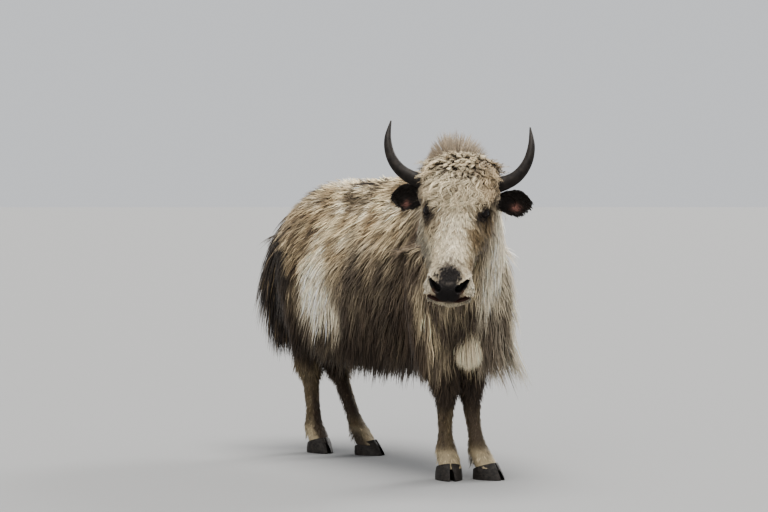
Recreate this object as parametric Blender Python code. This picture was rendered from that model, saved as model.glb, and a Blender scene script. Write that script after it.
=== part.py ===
"""A long-haired domestic yak cow, life size, standing with her head turned to her right.

Run it with: blender --background --python part.py
Metres, +Z up. The yak faces -Y, its left side is +X, and it stands on Z = 0.
Every place below is given in the plan frame, whose Y is 0 between the fore hooves; PLAN_TO_ROW
moves the finished model so that the middle of its bounding box stands over the origin.
"""

import math
import random

import bmesh
import bpy
import numpy as np
from mathutils import Matrix, Vector
from mathutils.bvhtree import BVHTree

PLAN_TO_ROW = Vector((0.0523, -0.4736, 0.0))
GAP = 0.0003
SIDES = {"right": -1.0, "left": 1.0}

# Heights of the trunk's surface, under the outer coat
HUMP_TOP = 1.100
BACK_TOP = 1.026
RUMP_TOP = 0.998
BRISKET_BOTTOM = 0.455
BELLY_BOTTOM = 0.430

# Half widths of the trunk
CHEST_HALF = 0.178
BARREL_HALF = 0.245
HIP_HALF = 0.220

# Places along the trunk, from the breast to the buttocks
BREAST_Y = -0.150
HUMP_Y = 0.110
FLANK_Y = 0.620
HIP_Y = 1.020
BUTTOCK_Y = 1.235

# Hooves: place of the middle of each pair of claws, and how far each foot is turned to the yak's left
HOOVES = {
    "fore_right": Vector((-0.062, 0.025, 0.0)),
    "fore_left": Vector((0.058, -0.025, 0.0)),
    "hind_right": Vector((-0.060, 1.020, 0.0)),
    "hind_left": Vector((0.060, 0.860, 0.0)),
}
HOOF_TURN = {
    "fore_right": math.radians(-20.0),
    "fore_left": math.radians(16.0),
    "hind_right": math.radians(4.0),
    "hind_left": math.radians(27.0),
}

# Head: place of the poll, and how far the head is turned, lowered and rolled
POLL = Vector((-0.196, -0.300, 1.066))
HEAD_TURN = math.radians(37.0)
FACE_SLOPE = math.radians(25.0)
HEAD_ROLL = math.radians(-3.0)
HEAD_LENGTH = 0.470


def interpolate(rows, share):
    """Smooth row between hand-placed rows, where share runs from 0 at the first to 1 at the last."""
    rows = [np.array(row, float) for row in rows]
    place = min(max(share, 0.0), 1.0) * (len(rows) - 1)
    i = min(int(place), len(rows) - 2)
    t = place - i
    before = rows[max(i - 1, 0)]
    after = rows[min(i + 2, len(rows) - 1)]
    start_slope = (rows[i + 1] - before) / 2
    end_slope = (after - rows[i]) / 2
    return (
        rows[i] * (2 * t**3 - 3 * t**2 + 1)
        + start_slope * (t**3 - 2 * t**2 + t)
        + rows[i + 1] * (3 * t**2 - 2 * t**3)
        + end_slope * (t**3 - t**2)
    )


def signed_power(value, power):
    return math.copysign(abs(value) ** power, value)


def loft(name, rings):
    """Closed mesh object through rings of equal count, with a fan at each end."""
    count = len(rings[0])
    mesh = bmesh.new()
    loops = [[mesh.verts.new(point) for point in ring] for ring in rings]
    for lower, upper in zip(loops, loops[1:]):
        for i in range(count):
            j = (i + 1) % count
            mesh.faces.new((lower[i], lower[j], upper[j], upper[i]))
    for loop in (loops[0], loops[-1]):
        middle = mesh.verts.new(sum((v.co for v in loop), Vector()) / count)
        for i in range(count):
            mesh.faces.new((loop[i], loop[(i + 1) % count], middle))
    bmesh.ops.recalc_face_normals(mesh, faces=mesh.faces)
    bmesh.ops.triangulate(mesh, faces=mesh.faces, quad_method="FIXED")
    return object_from(name, mesh)


def object_from(name, mesh):
    """New object in the scene from a bmesh, which is freed."""
    data = bpy.data.meshes.new(name)
    mesh.to_mesh(data)
    mesh.free()
    made = bpy.data.objects.new(name, data)
    bpy.context.scene.collection.objects.link(made)
    return made


# Trunk and neck

TRUNK_SIDES = 32
TRUNK_RINGS = 40
TRUNK = (  # y, half width, top, bottom, how much the upper half narrows
    (BREAST_Y, 0.028, 0.740, 0.620, 0.1),
    (BREAST_Y + 0.035, 0.080, 0.870, 0.515, 0.1),
    (-0.050, 0.112, 0.985, BRISKET_BOTTOM + 0.015, 0.30),
    (0.030, 0.142, HUMP_TOP - 0.035, BRISKET_BOTTOM, 0.40),
    (HUMP_Y + 0.010, CHEST_HALF, HUMP_TOP, BRISKET_BOTTOM, 0.48),
    (0.250, 0.212, 1.055, 0.450, 0.46),
    (0.450, BARREL_HALF - 0.010, BACK_TOP + 0.003, BELLY_BOTTOM + 0.004, 0.44),
    (FLANK_Y, BARREL_HALF, BACK_TOP - 0.006, BELLY_BOTTOM, 0.40),
    (0.790, BARREL_HALF - 0.010, BACK_TOP - 0.010, BELLY_BOTTOM + 0.020, 0.30),
    (0.920, 0.232, BACK_TOP - 0.012, 0.500, 0.14),
    (HIP_Y, HIP_HALF, RUMP_TOP, 0.560, 0.15),
    (1.120, 0.190, RUMP_TOP - 0.035, 0.610, 0.15),
    (1.190, 0.135, 0.900, 0.660, 0.10),
    (BUTTOCK_Y, 0.040, 0.820, 0.740, 0.0),
)


def trunk_rings():
    rings = []
    for i in range(TRUNK_RINGS):
        y, half, top, bottom, narrow = interpolate(TRUNK, i / (TRUNK_RINGS - 1))
        middle = bottom + (top - bottom) * 0.47
        ring = []
        for k in range(TRUNK_SIDES):
            angle = 2 * math.pi * k / TRUNK_SIDES
            across = signed_power(math.cos(angle), 0.9)
            up = signed_power(math.sin(angle), 0.92)
            height = (top - middle) * up if up > 0 else (middle - bottom) * up
            pinch = 1 - narrow * max(up, 0.0) ** 1.25
            ring.append(Vector((half * across * pinch, y, middle + height)))
        rings.append(ring)
    return rings


def head_matrix():
    """Head frame to plan frame: X is the yak's left, Y runs from poll to muzzle, Z is out of the face."""
    forward = Vector((-math.sin(HEAD_TURN), -math.cos(HEAD_TURN), 0.0))
    up = Vector((0.0, 0.0, 1.0))
    left = up.cross(forward)
    along = forward * math.sin(FACE_SLOPE) - up * math.cos(FACE_SLOPE)
    out = forward * math.cos(FACE_SLOPE) + up * math.sin(FACE_SLOPE)
    frame = Matrix((left, along, out)).transposed().to_4x4()
    roll = Matrix.Rotation(HEAD_ROLL, 4, forward)
    return Matrix.Translation(POLL) @ roll @ frame


HEAD = head_matrix()

NECK_SIDES = 24
NECK_RINGS = 16
NECK = (  # centre x, y, z, half width, half depth, from inside the chest to inside the head
    (-0.005, 0.060, 0.800, 0.150, 0.240),
    (-0.055, -0.060, 0.820, 0.128, 0.225),
    (-0.100, -0.160, 0.865, 0.108, 0.200),
    (-0.137, -0.225, 0.920, 0.102, 0.165),
    (-0.165, -0.275, 0.965, 0.098, 0.125),
)


def neck_rings():
    rings = []
    for i in range(NECK_RINGS):
        share = i / (NECK_RINGS - 1)
        x, y, z, half, depth = interpolate(NECK, share)
        ahead = interpolate(NECK, share + 0.05)[:3] - interpolate(NECK, share - 0.05)[:3]
        ahead = Vector(ahead).normalized()
        left = Vector((0, 0, 1)).cross(ahead).normalized()
        rise = ahead.cross(left)
        ring = []
        for k in range(NECK_SIDES):
            angle = 2 * math.pi * k / NECK_SIDES
            ring.append(Vector((x, y, z)) + left * half * math.cos(angle) + rise * depth * math.sin(angle))
        rings.append(ring)
    return rings


# Legs

LEG_SIDES = 12
CORONET_Z = 0.045
CORONET_SLOPE = 0.34
FETLOCK_Z = 0.100
KNEE_Z = 0.262
HOCK_Z = 0.375
FORE_LEG = (  # offset in x away from the middle, offset in y, z, half width, half depth
    (0.060, 0.030, 0.800, 0.075, 0.130),
    (0.052, 0.020, 0.680, 0.080, 0.125),
    (0.042, 0.030, 0.560, 0.073, 0.105),
    (0.026, 0.035, 0.480, 0.060, 0.080),
    (0.010, 0.020, 0.380, 0.047, 0.056),
    (0.000, 0.006, 0.300, 0.037, 0.044),
    (0.001, 0.000, 0.260, 0.037, 0.045),
    (-0.001, 0.006, 0.215, 0.033, 0.036),
    (0.000, 0.008, 0.160, 0.030, 0.033),
    (0.000, 0.008, 0.115, 0.037, 0.040),
    (0.000, 0.004, 0.090, 0.040, 0.043),
    (0.000, -0.006, 0.066, 0.040, 0.041),
    (0.000, -0.014, 0.030, 0.046, 0.049),
)
HIND_LEG = (  # the same, with y measured from the hoof
    (0.060, 0.010, 0.840, 0.085, 0.170),
    (0.065, -0.030, 0.720, 0.095, 0.175),
    (0.070, -0.060, 0.620, 0.090, 0.150),
    (0.058, -0.040, 0.530, 0.070, 0.105),
    (0.035, 0.020, 0.450, 0.048, 0.066),
    (0.016, 0.055, 0.385, 0.040, 0.058),
    (0.010, 0.052, 0.330, 0.039, 0.050),
    (0.004, 0.035, 0.250, 0.035, 0.041),
    (0.000, 0.018, 0.165, 0.033, 0.036),
    (0.000, 0.010, 0.118, 0.037, 0.041),
    (0.000, 0.004, 0.092, 0.040, 0.043),
    (0.000, -0.006, 0.066, 0.040, 0.041),
    (0.000, -0.014, 0.030, 0.046, 0.049),
)
LEG_RINGS = 24


LEG_LEAN = {  # how far the knee or hock, and then the elbow or stifle, stand in and back of a plumb leg
    "fore_right": ((-0.012, -0.012), (-0.010, -0.030)),
    "fore_left": ((0.012, 0.034), (0.020, 0.041)),
    "hind_right": ((0.000, -0.028), (0.004, -0.034)),
    "hind_left": ((0.035, 0.118), (0.016, 0.150)),
}
PASTERN_SLOPE = 0.034


def foot_place(leg, offset):
    """Place given from the middle of a hoof, sideways and back as the foot is turned."""
    return HOOVES[leg] + Matrix.Rotation(HOOF_TURN[leg], 3, "Z") @ Vector(offset)


def leg_lean(leg, z):
    """Sideways and backward shift of a leg's middle at this height."""
    joint, top = LEG_LEAN[leg]
    joint_z = KNEE_Z if leg.startswith("fore") else HOCK_Z
    if z <= joint_z:
        share = max(z - FETLOCK_Z, 0.0) / (joint_z - FETLOCK_Z)
        return joint[0] * share, joint[1] * share
    share = min((z - joint_z) / 0.22, 1.0)
    return tuple(a + (b - a) * share for a, b in zip(joint, top))


def leg_rings(leg):
    side = math.copysign(1.0, HOOVES[leg].x)
    rows = FORE_LEG if leg.startswith("fore") else HIND_LEG
    rings = []
    for i in range(LEG_RINGS):
        out, back, z, half, depth = interpolate(rows, i / (LEG_RINGS - 1))
        inward, lean = leg_lean(leg, z)
        sloped = min(max((z - CORONET_Z * 0.6) / (FETLOCK_Z - CORONET_Z * 0.6), 0.0), 1.0)
        foot = foot_place(leg, (0.0, PASTERN_SLOPE * sloped, z))
        centre = foot + Vector((side * (out - inward), back + lean, 0.0))
        ring = []
        for k in range(LEG_SIDES):
            angle = 2 * math.pi * k / LEG_SIDES
            ring.append(centre + Vector((half * math.cos(angle), depth * math.sin(angle), 0.0)))
        rings.append(ring)
    return rings


# Head, in its own frame: x to the yak's left, y from the poll to the muzzle, z out of the face

HEAD_SIDES = 24
HEAD_RINGS = 25
HEAD_ROWS = (  # y, half width, face height, throat depth, boxiness
    (-0.022, 0.056, 0.026, 0.062, 0.95),
    (0.000, 0.100, 0.055, 0.105, 0.95),
    (0.045, 0.116, 0.078, 0.118, 0.88),
    (0.095, 0.120, 0.082, 0.124, 0.84),
    (0.145, 0.116, 0.077, 0.122, 0.82),
    (0.195, 0.104, 0.069, 0.108, 0.80),
    (0.245, 0.088, 0.062, 0.088, 0.80),
    (0.295, 0.076, 0.057, 0.070, 0.80),
    (0.345, 0.068, 0.054, 0.058, 0.80),
    (0.390, 0.069, 0.051, 0.053, 0.80),
    (0.430, 0.071, 0.044, 0.051, 0.80),
    (0.455, 0.066, 0.032, 0.046, 0.80),
    (0.470, 0.050, 0.016, 0.036, 0.85),
    (HEAD_LENGTH + 0.006, 0.026, 0.002, 0.022, 0.9),
)
BUMPS = (  # place on the left side or the middle, reach, height, share of the ring's own outward push
    ((0.088, 0.125, 0.064), 0.034, 0.010),
    ((0.100, 0.165, 0.030), 0.024, -0.010),
    ((0.100, 0.200, -0.005), 0.040, 0.006),
    ((0.085, 0.130, -0.080), 0.050, 0.008),
    ((0.050, 0.405, 0.030), 0.024, 0.009),
    ((0.060, 0.425, -0.006), 0.022, 0.004),
    ((0.000, 0.425, -0.052), 0.030, 0.006),
    ((0.000, 0.070, 0.085), 0.050, 0.006),
)


def bumped(point, outward):
    """Point of the head moved out or in by the soft swellings of brow, cheek, nostril, lip and chin."""
    moved = point.copy()
    for (x, y, z), reach, height in BUMPS:
        for side in {1.0, -1.0} if x else {1.0}:
            gap = (point - Vector((x * side, y, z))).length
            moved += outward * height * math.exp(-((gap / reach) ** 2))
    return moved


def head_rings():
    rings = []
    for i in range(HEAD_RINGS):
        share = i / (HEAD_RINGS - 1)
        y, half, face, throat, box = interpolate(HEAD_ROWS, share)
        ring = []
        for k in range(HEAD_SIDES):
            angle = 2 * math.pi * k / HEAD_SIDES
            across = signed_power(math.cos(angle), box)
            out = signed_power(math.sin(angle), box)
            height = face * out if out > 0 else throat * out
            jaw = 1 - 0.30 * max(-out, 0.0)
            point = Vector((half * across * jaw, y, height))
            outward = Vector((point.x / half, 0.0, point.z / (face if out > 0 else throat))).normalized()
            ring.append(HEAD @ bumped(point, outward))
        rings.append(ring)
    return rings


# Horns, ears, eyes, tail and hooves

HORN_SIDES = 9
HORN_RINGS = 12
HORN_LEAN = {"right": 0.016, "left": -0.020}
HORN = (  # the left horn in the head's frame: x, y, z, radius
    (0.062, 0.072, -0.004, 0.0265),
    (0.125, 0.064, 0.004, 0.0245),
    (0.186, 0.040, 0.020, 0.0205),
    (0.224, -0.006, 0.034, 0.0160),
    (0.238, -0.066, 0.042, 0.0105),
    (0.232, -0.134, 0.040, 0.0018),
)


def tube_rings(rows, rings, sides, place):
    """Round rings along a line of rows (x, y, z, radius), each moved by place."""
    made = []
    for i in range(rings):
        share = i / (rings - 1)
        x, y, z, radius = interpolate(rows, share)
        ahead = Vector((interpolate(rows, share + 0.04) - interpolate(rows, share - 0.04))[:3]).normalized()
        across = ahead.cross(Vector((0.0, 0.0, 1.0)))
        if across.length < 1e-3:
            across = ahead.cross(Vector((0.0, 1.0, 0.0)))
        across.normalize()
        other = ahead.cross(across)
        ring = []
        for k in range(sides):
            angle = 2 * math.pi * k / sides
            offset = across * math.cos(angle) + other * math.sin(angle)
            ring.append(place @ (Vector((x, y, z)) + offset * radius))
        made.append(ring)
    return made


def horn_rings(name):
    side = SIDES[name]
    rows = []
    for i, (x, y, z, radius) in enumerate(HORN):
        share = i / (len(HORN) - 1)
        rows.append((side * (x + HORN_LEAN[name] * share), y, z, radius))
    return tube_rings(rows, HORN_RINGS, HORN_SIDES, HEAD)


# Ears: a round stub sunk in the head that opens into a leaf-shaped cup

EAR_RINGS = 10
EAR_ARC = 5
EAR = (  # along the ear, radius across, half angle the cup wraps, thickness, how far it is opened
    (-0.030, 0.014, 1.57, 0.014, 0.0),
    (0.000, 0.018, 1.57, 0.015, 0.0),
    (0.022, 0.029, 1.50, 0.010, 0.8),
    (0.050, 0.040, 1.42, 0.008, 1.0),
    (0.078, 0.043, 1.25, 0.007, 1.0),
    (0.102, 0.032, 1.05, 0.006, 1.0),
    (0.122, 0.010, 0.90, 0.004, 1.0),
)
EAR_ROOT = Vector((0.112, 0.100, -0.036))
EAR_DROOP = {"right": -0.06, "left": -0.04}


def ear_rings(name):
    side = SIDES[name]
    along = Vector((1.0, EAR_DROOP[name], -0.20)).normalized()
    opening = Vector((0.10, 0.55, 1.0)).normalized()
    opening = (opening - along * opening.dot(along)).normalized()
    upward = along.cross(opening)
    rings = []
    for i in range(EAR_RINGS):
        reach, radius, wrap, thick, opened = interpolate(EAR, i / (EAR_RINGS - 1))
        opened = min(max(opened, 0.0), 1.0)
        outer = []
        inner = []
        for k in range(EAR_ARC):
            angle = wrap * (2 * k / (EAR_ARC - 1) - 1)
            spoke = upward * math.sin(angle) - opening * math.cos(angle)
            shift = opening * radius * 0.45 * min(max(reach / 0.05, 0.0), 1.0)
            middle = EAR_ROOT + along * reach + shift
            outer.append(middle + spoke * radius)
            far = upward * math.sin(angle * 0.8) + opening * math.cos(angle * 0.8)
            near = upward * math.sin(angle * 0.9) - opening * math.cos(angle * 0.9)
            inner.append(middle + far * radius * (1 - opened) + near * (radius - thick) * opened)
        ring = outer + inner[::-1]
        rings.append([HEAD @ Vector((side * p.x, p.y, p.z)) for p in ring])
    return rings


# Eyes and their lids

EYE = Vector((0.0885, 0.180, 0.035))
EYE_RADIUS = 0.0172
LID_RADIUS = 0.0212
EYE_LOOK = Vector((1.0, 0.10, 0.50)).normalized()


def ball(name, middle, radius, segments, rings):
    mesh = bmesh.new()
    bmesh.ops.create_uvsphere(mesh, u_segments=segments, v_segments=rings, radius=radius)
    bmesh.ops.triangulate(mesh, faces=mesh.faces)
    bmesh.ops.translate(mesh, verts=mesh.verts, vec=middle)
    return object_from(name, mesh)


def prism(name, outline, middle, across, along, outward, near, far):
    """Closed solid over a flat outline of (across, along) points, from near to far along outward."""
    rings = []
    for reach in (near, far):
        rings.append([middle + across * a + along * b + outward * reach for a, b in outline])
    return loft(name, rings)


def lens(length, height, points):
    """Almond outline with sharp corners."""
    outline = []
    for k in range(points):
        angle = 2 * math.pi * k / points
        outline.append((length / 2 * math.cos(angle), height / 2 * signed_power(math.sin(angle), 1.5)))
    return outline


NOSTRIL = Vector((0.043, 0.4355, 0.036))
NOSTRIL_OUTLINE = (  # a comma whose tail runs up and out
    (-0.011, 0.006),
    (-0.005, 0.011),
    (0.003, 0.010),
    (0.009, 0.004),
    (0.014, -0.006),
    (0.018, -0.014),
    (0.012, -0.010),
    (0.004, -0.004),
    (-0.004, -0.003),
    (-0.010, 0.000),
)


MOUTH_STEPS = 15
MOUTH_TURN = math.radians(112.0)
MOUTH_Z = -0.016
MOUTH_DEPTH = 0.010


def mouth_cutter(skin):
    """Thin curved wedge that parts the lips, from one corner of the mouth round the muzzle to the other."""
    rings = []
    for i in range(MOUTH_STEPS):
        turn = MOUTH_TURN * (2 * i / (MOUTH_STEPS - 1) - 1)
        inside = HEAD @ Vector((0.0, 0.405, MOUTH_Z - 0.012 * (1 - math.cos(turn))))
        outward = HEAD.to_3x3() @ Vector((math.sin(turn), math.cos(turn), 0.0))
        hit = skin.ray_cast(inside, outward)[0]
        lip = (HEAD.to_3x3() @ Vector((0.0, 0.25 * math.cos(turn), 1.0))).normalized()
        outer = hit + outward * 0.006
        inner = hit - outward * MOUTH_DEPTH
        rings.append([outer + lip * 0.0034, outer - lip * 0.0034, inner - lip * 0.0006, inner + lip * 0.0006])
    return loft("mouth_cutter", rings)


TAIL = (  # x, y, z and radius of the core, from inside the rump to its end
    (0.000, 1.120, 0.932, 0.026),
    (0.000, 1.215, 0.930, 0.034),
    (-0.030, 1.266, 0.880, 0.044),
    (-0.066, 1.290, 0.795, 0.052),
    (-0.090, 1.294, 0.690, 0.058),
    (-0.080, 1.276, 0.590, 0.052),
    (-0.050, 1.250, 0.500, 0.022),
)

CLAW_RINGS = (  # height share, toe reach, heel reach, half width of both claws
    (0.000, 0.077, 0.040, 0.0465),
    (0.120, 0.076, 0.041, 0.0470),
    (0.550, 0.057, 0.041, 0.0455),
    (1.000, 0.039, 0.043, 0.0425),
)
CLEFT = 0.0022


def coronet_height(y):
    """Height of the top of the hoof wall, y metres behind the middle of the hoof."""
    return CORONET_Z - CORONET_SLOPE * y


def claw_rings(leg, side):
    """Rings of the claw on one side of the cleft, flat on the floor and up to the coronet."""
    rings = []
    for share, toe, heel, half in CLAW_RINGS:
        ring = []
        for k in range(11):
            angle = math.pi * k / 10 - math.pi / 2
            x = half * max(math.cos(angle), 0.0) ** 0.7
            y = -math.sin(angle) * (toe if angle > 0 else heel)
            taper = 1 - 0.35 * max(-y / toe, 0.0) ** 2
            split = CLEFT + 0.006 * max(-y / toe, 0.0) ** 2 * (1 - share)
            height = share * (coronet_height(y) - GAP)
            ring.append(foot_place(leg, (side * max(x * taper, split + 0.001), y, height)))
        for k in range(2):
            y = -toe + (toe + heel) * (0.35 + 0.3 * k)
            split = CLEFT + 0.006 * max(-y / toe, 0.0) ** 2 * (1 - share)
            height = share * (coronet_height(y) - GAP)
            ring.append(foot_place(leg, (side * split, y, height)))
        rings.append(ring)
    return rings


# Joining, parting and pocketing of solids

BODY_VOXEL = 0.010
BODY_SMOOTHING = 8
BODY_SHARE = 0.032


def applied(made):
    """Give an object the mesh its modifiers make, and drop the modifiers."""
    shaped = bpy.data.meshes.new_from_object(made.evaluated_get(bpy.context.evaluated_depsgraph_get()))
    made.modifiers.clear()
    made.data = shaped
    return made


def joined(name, pieces):
    mesh = bmesh.new()
    for piece in pieces:
        mesh.from_mesh(piece.data)
        bpy.data.objects.remove(piece)
    return object_from(name, mesh)


def fused(name, pieces):
    """One smooth closed skin over solids that run into each other."""
    made = joined(name, pieces)
    skin = made.modifiers.new("skin", "REMESH")
    skin.mode = "VOXEL"
    skin.voxel_size = BODY_VOXEL
    smooth = made.modifiers.new("smooth", "SMOOTH")
    smooth.factor = 0.5
    smooth.iterations = BODY_SMOOTHING
    applied(made)
    fewer = made.modifiers.new("fewer", "DECIMATE")
    fewer.ratio = BODY_SHARE
    return applied(made)


def half(source, name, point, normal, front):
    """The part of a solid in front of a plane, or behind it, half a gap short of the plane and closed."""
    mesh = bmesh.new()
    mesh.from_mesh(source.data)
    normal = Vector(normal).normalized()
    place = Vector(point) + normal * (GAP / 2 if front else -GAP / 2)
    every = mesh.verts[:] + mesh.edges[:] + mesh.faces[:]
    bmesh.ops.bisect_plane(
        mesh, geom=every, dist=1e-6, plane_co=place, plane_no=normal, clear_inner=front, clear_outer=not front
    )
    edges = [edge for edge in mesh.edges if edge.is_boundary]
    bmesh.ops.triangle_fill(mesh, use_beauty=True, edges=edges)
    bmesh.ops.recalc_face_normals(mesh, faces=mesh.faces)
    return object_from(name, mesh)


def parted(source, front_name, back_name, point, normal):
    front = half(source, front_name, point, normal, True)
    back = half(source, back_name, point, normal, False)
    bpy.data.objects.remove(source)
    return front, back


def islands(mesh):
    """Lists of faces, one for each separate surface."""
    left = set(mesh.faces)
    found = []
    while left:
        grown = [left.pop()]
        for face in grown:
            for edge in face.edges:
                for other in edge.link_faces:
                    if other in left:
                        left.remove(other)
                        grown.append(other)
        found.append(grown)
    return sorted(found, key=len, reverse=True)


def keep_largest(made):
    mesh = bmesh.new()
    mesh.from_mesh(made.data)
    spare = [face for island in islands(mesh)[1:] for face in island]
    bmesh.ops.delete(mesh, geom=spare, context="FACES")
    bmesh.ops.triangulate(mesh, faces=mesh.faces)
    mesh.to_mesh(made.data)
    mesh.free()
    return made


def grown(source, reach=GAP):
    """Copy of a solid moved out along its own normals."""
    mesh = bmesh.new()
    mesh.from_mesh(source.data)
    mesh.normal_update()
    places = [vert.co + vert.normal * reach for vert in mesh.verts]
    for vert, place in zip(mesh.verts, places):
        vert.co = place
    return object_from(source.name + "_grown", mesh)


def is_closed(made):
    mesh = bmesh.new()
    mesh.from_mesh(made.data)
    closed = all(edge.is_manifold for edge in mesh.edges)
    mesh.free()
    return closed


def combined(target, operation, others):
    """Join solids to the target or take them away from it, in one step, and remove them."""
    group = bpy.data.collections.new("others")
    for other in others:
        group.objects.link(other)
    plain = target.data
    for solver in ("EXACT", "MANIFOLD"):
        target.data = plain
        step = target.modifiers.new("step", "BOOLEAN")
        step.operation = operation
        step.operand_type = "COLLECTION"
        step.collection = group
        step.solver = solver
        keep_largest(applied(target))
        if is_closed(target):
            break
    for other in list(group.objects):
        bpy.data.objects.remove(other)
    bpy.data.collections.remove(group)
    return target


def tree_of(made):
    mesh = bmesh.new()
    mesh.from_mesh(made.data)
    tree = BVHTree.FromBMesh(mesh)
    mesh.free()
    return tree


# Where the body is parted

NECK_CUT = (Vector((-0.030, -0.110, 0.840)), Vector((-0.20, -0.85, 0.50)))
SHOULDER_CUT_Y = 0.340
FLANK_CUT_Y = 0.840
ELBOW_CUT_Z = 0.428
STIFLE_CUT_Z = 0.450


def body_parts():
    """Neck, the three lengths of the trunk and the parts of each leg."""
    pieces = [loft("trunk", trunk_rings()), loft("neck", neck_rings())]
    pieces += [loft("leg", [ring for ring in leg_rings(leg) if ring[0].z > KNEE_Z + 0.08]) for leg in HOOVES]
    body = fused("body", pieces)
    whole = tree_of(body)
    neck, trunk = parted(body, "neck", "trunk", *NECK_CUT)
    rest, shoulders = parted(trunk, "rest", "shoulders", (0.0, SHOULDER_CUT_Y, 0.0), (0.0, 1.0, 0.0))
    rump, barrel = parted(rest, "rump", "barrel", (0.0, FLANK_CUT_Y, 0.0), (0.0, 1.0, 0.0))
    parts = {"neck": keep_largest(neck), "barrel": barrel}
    trunk_ends = ((shoulders, "forequarters", ELBOW_CUT_Z), (rump, "hindquarters", STIFLE_CUT_Z))
    for source, name, height in trunk_ends:
        parts[name] = half(source, name, (0.0, 0.0, height), (0.0, 0.0, 1.0), True)
        bpy.data.objects.remove(source)
    for leg in HOOVES:
        parts.update(leg_parts(leg))
    return parts, whole


def leg_parts(leg):
    """Upper and lower leg, parted at the knee or below the hock, from the trunk to the top of the claws."""
    hoof = HOOVES[leg]
    end, side = leg.split("_")
    top, joint = (ELBOW_CUT_Z, KNEE_Z) if end == "fore" else (STIFLE_CUT_Z, HOCK_Z - 0.060)
    slant = 0.10 if end == "fore" else 0.35
    leg_and_root = loft("leg", leg_rings(leg))
    spare, whole_leg = parted(leg_and_root, "spare", "leg", (0.0, 0.0, top), (0.0, 0.0, 1.0))
    coronet = hoof + Vector((0.0, 0.0, CORONET_Z))
    tilt = foot_place(leg, (0.0, CORONET_SLOPE, 1.0)) - hoof
    shank, foot = parted(whole_leg, "shank", "foot", coronet, tilt)
    upper_name = end + "leg_upper_" + side
    lower_name = end + "leg_lower_" + side
    place = hoof + Vector((0.0, 0.0, joint))
    upper, lower = parted(shank, upper_name, lower_name, place, (0.0, slant, 1.0))
    for unused in (spare, foot):
        bpy.data.objects.remove(unused)
    return {upper_name: upper, lower_name: lower}


def head_parts():
    """Head with its eyes, horns and ears set in pockets, the nostrils and the line of the mouth."""
    head = loft("head", head_rings())
    parts = {}
    pockets = []
    lids = []
    openings = []
    turned = HEAD.to_3x3()
    for name, side in SIDES.items():
        horn = loft("horn_" + name, horn_rings(name))
        ear = loft("ear_" + name, ear_rings(name))
        middle = HEAD @ Vector((side * EYE.x, EYE.y, EYE.z))
        eye = ball("eye_" + name, middle, EYE_RADIUS, 10, 6)
        parts.update({"horn_" + name: horn, "ear_" + name: ear, "eye_" + name: eye})
        pockets += [grown(horn), grown(ear), grown(eye)]
        look = (turned @ Vector((side * EYE_LOOK.x, EYE_LOOK.y, EYE_LOOK.z))).normalized()
        slant = (turned @ Vector((side * -0.30, 1.0, 0.10))).normalized()
        slant = (slant - look * slant.dot(look)).normalized()
        rise = look.cross(slant)
        lids.append(ball("lids", middle, LID_RADIUS, 13, 7))
        opening = prism("opening", lens(0.034, 0.019, 12), middle, slant, rise, look, 0.004, 0.040)
        openings.append(opening)
        nostril = Vector((side * NOSTRIL.x, NOSTRIL.y, NOSTRIL.z))
        inward = (turned @ Vector((side * -0.25, -0.55, -0.80))).normalized()
        across = (turned @ Vector((side, 0.0, 0.0))).normalized()
        across = (across - inward * across.dot(inward)).normalized()
        along = inward.cross(across) * side
        if (turned.inverted() @ along).y < 0:
            along = -along
        nostril = HEAD @ nostril
        openings.append(prism("nostril", NOSTRIL_OUTLINE, nostril, across, along, inward, -0.02, 0.016))
    openings.append(mouth_cutter(tree_of(head)))
    combined(head, "UNION", lids)
    combined(head, "DIFFERENCE", openings + pockets)
    parts["head"] = head
    return parts


# Long hair: flat locks that lie on the skin, then fall free

SHORT_LOCK = 0.135
LOCK_PROFILE = (  # shares of a lock's width and thickness, from its root to its tip
    (0.70, 0.80),
    (1.00, 1.00),
    (0.95, 0.90),
    (0.66, 0.60),
    (0.00, 0.00),
)
ROOT_DEPTH = 0.016
CLEAR = 0.0012
FLOOR = 0.012
LAY_ATTEMPTS = 9
STAND_ATTEMPTS = 6
DOWN = Vector((0.0, 0.0, -1.0))


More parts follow.
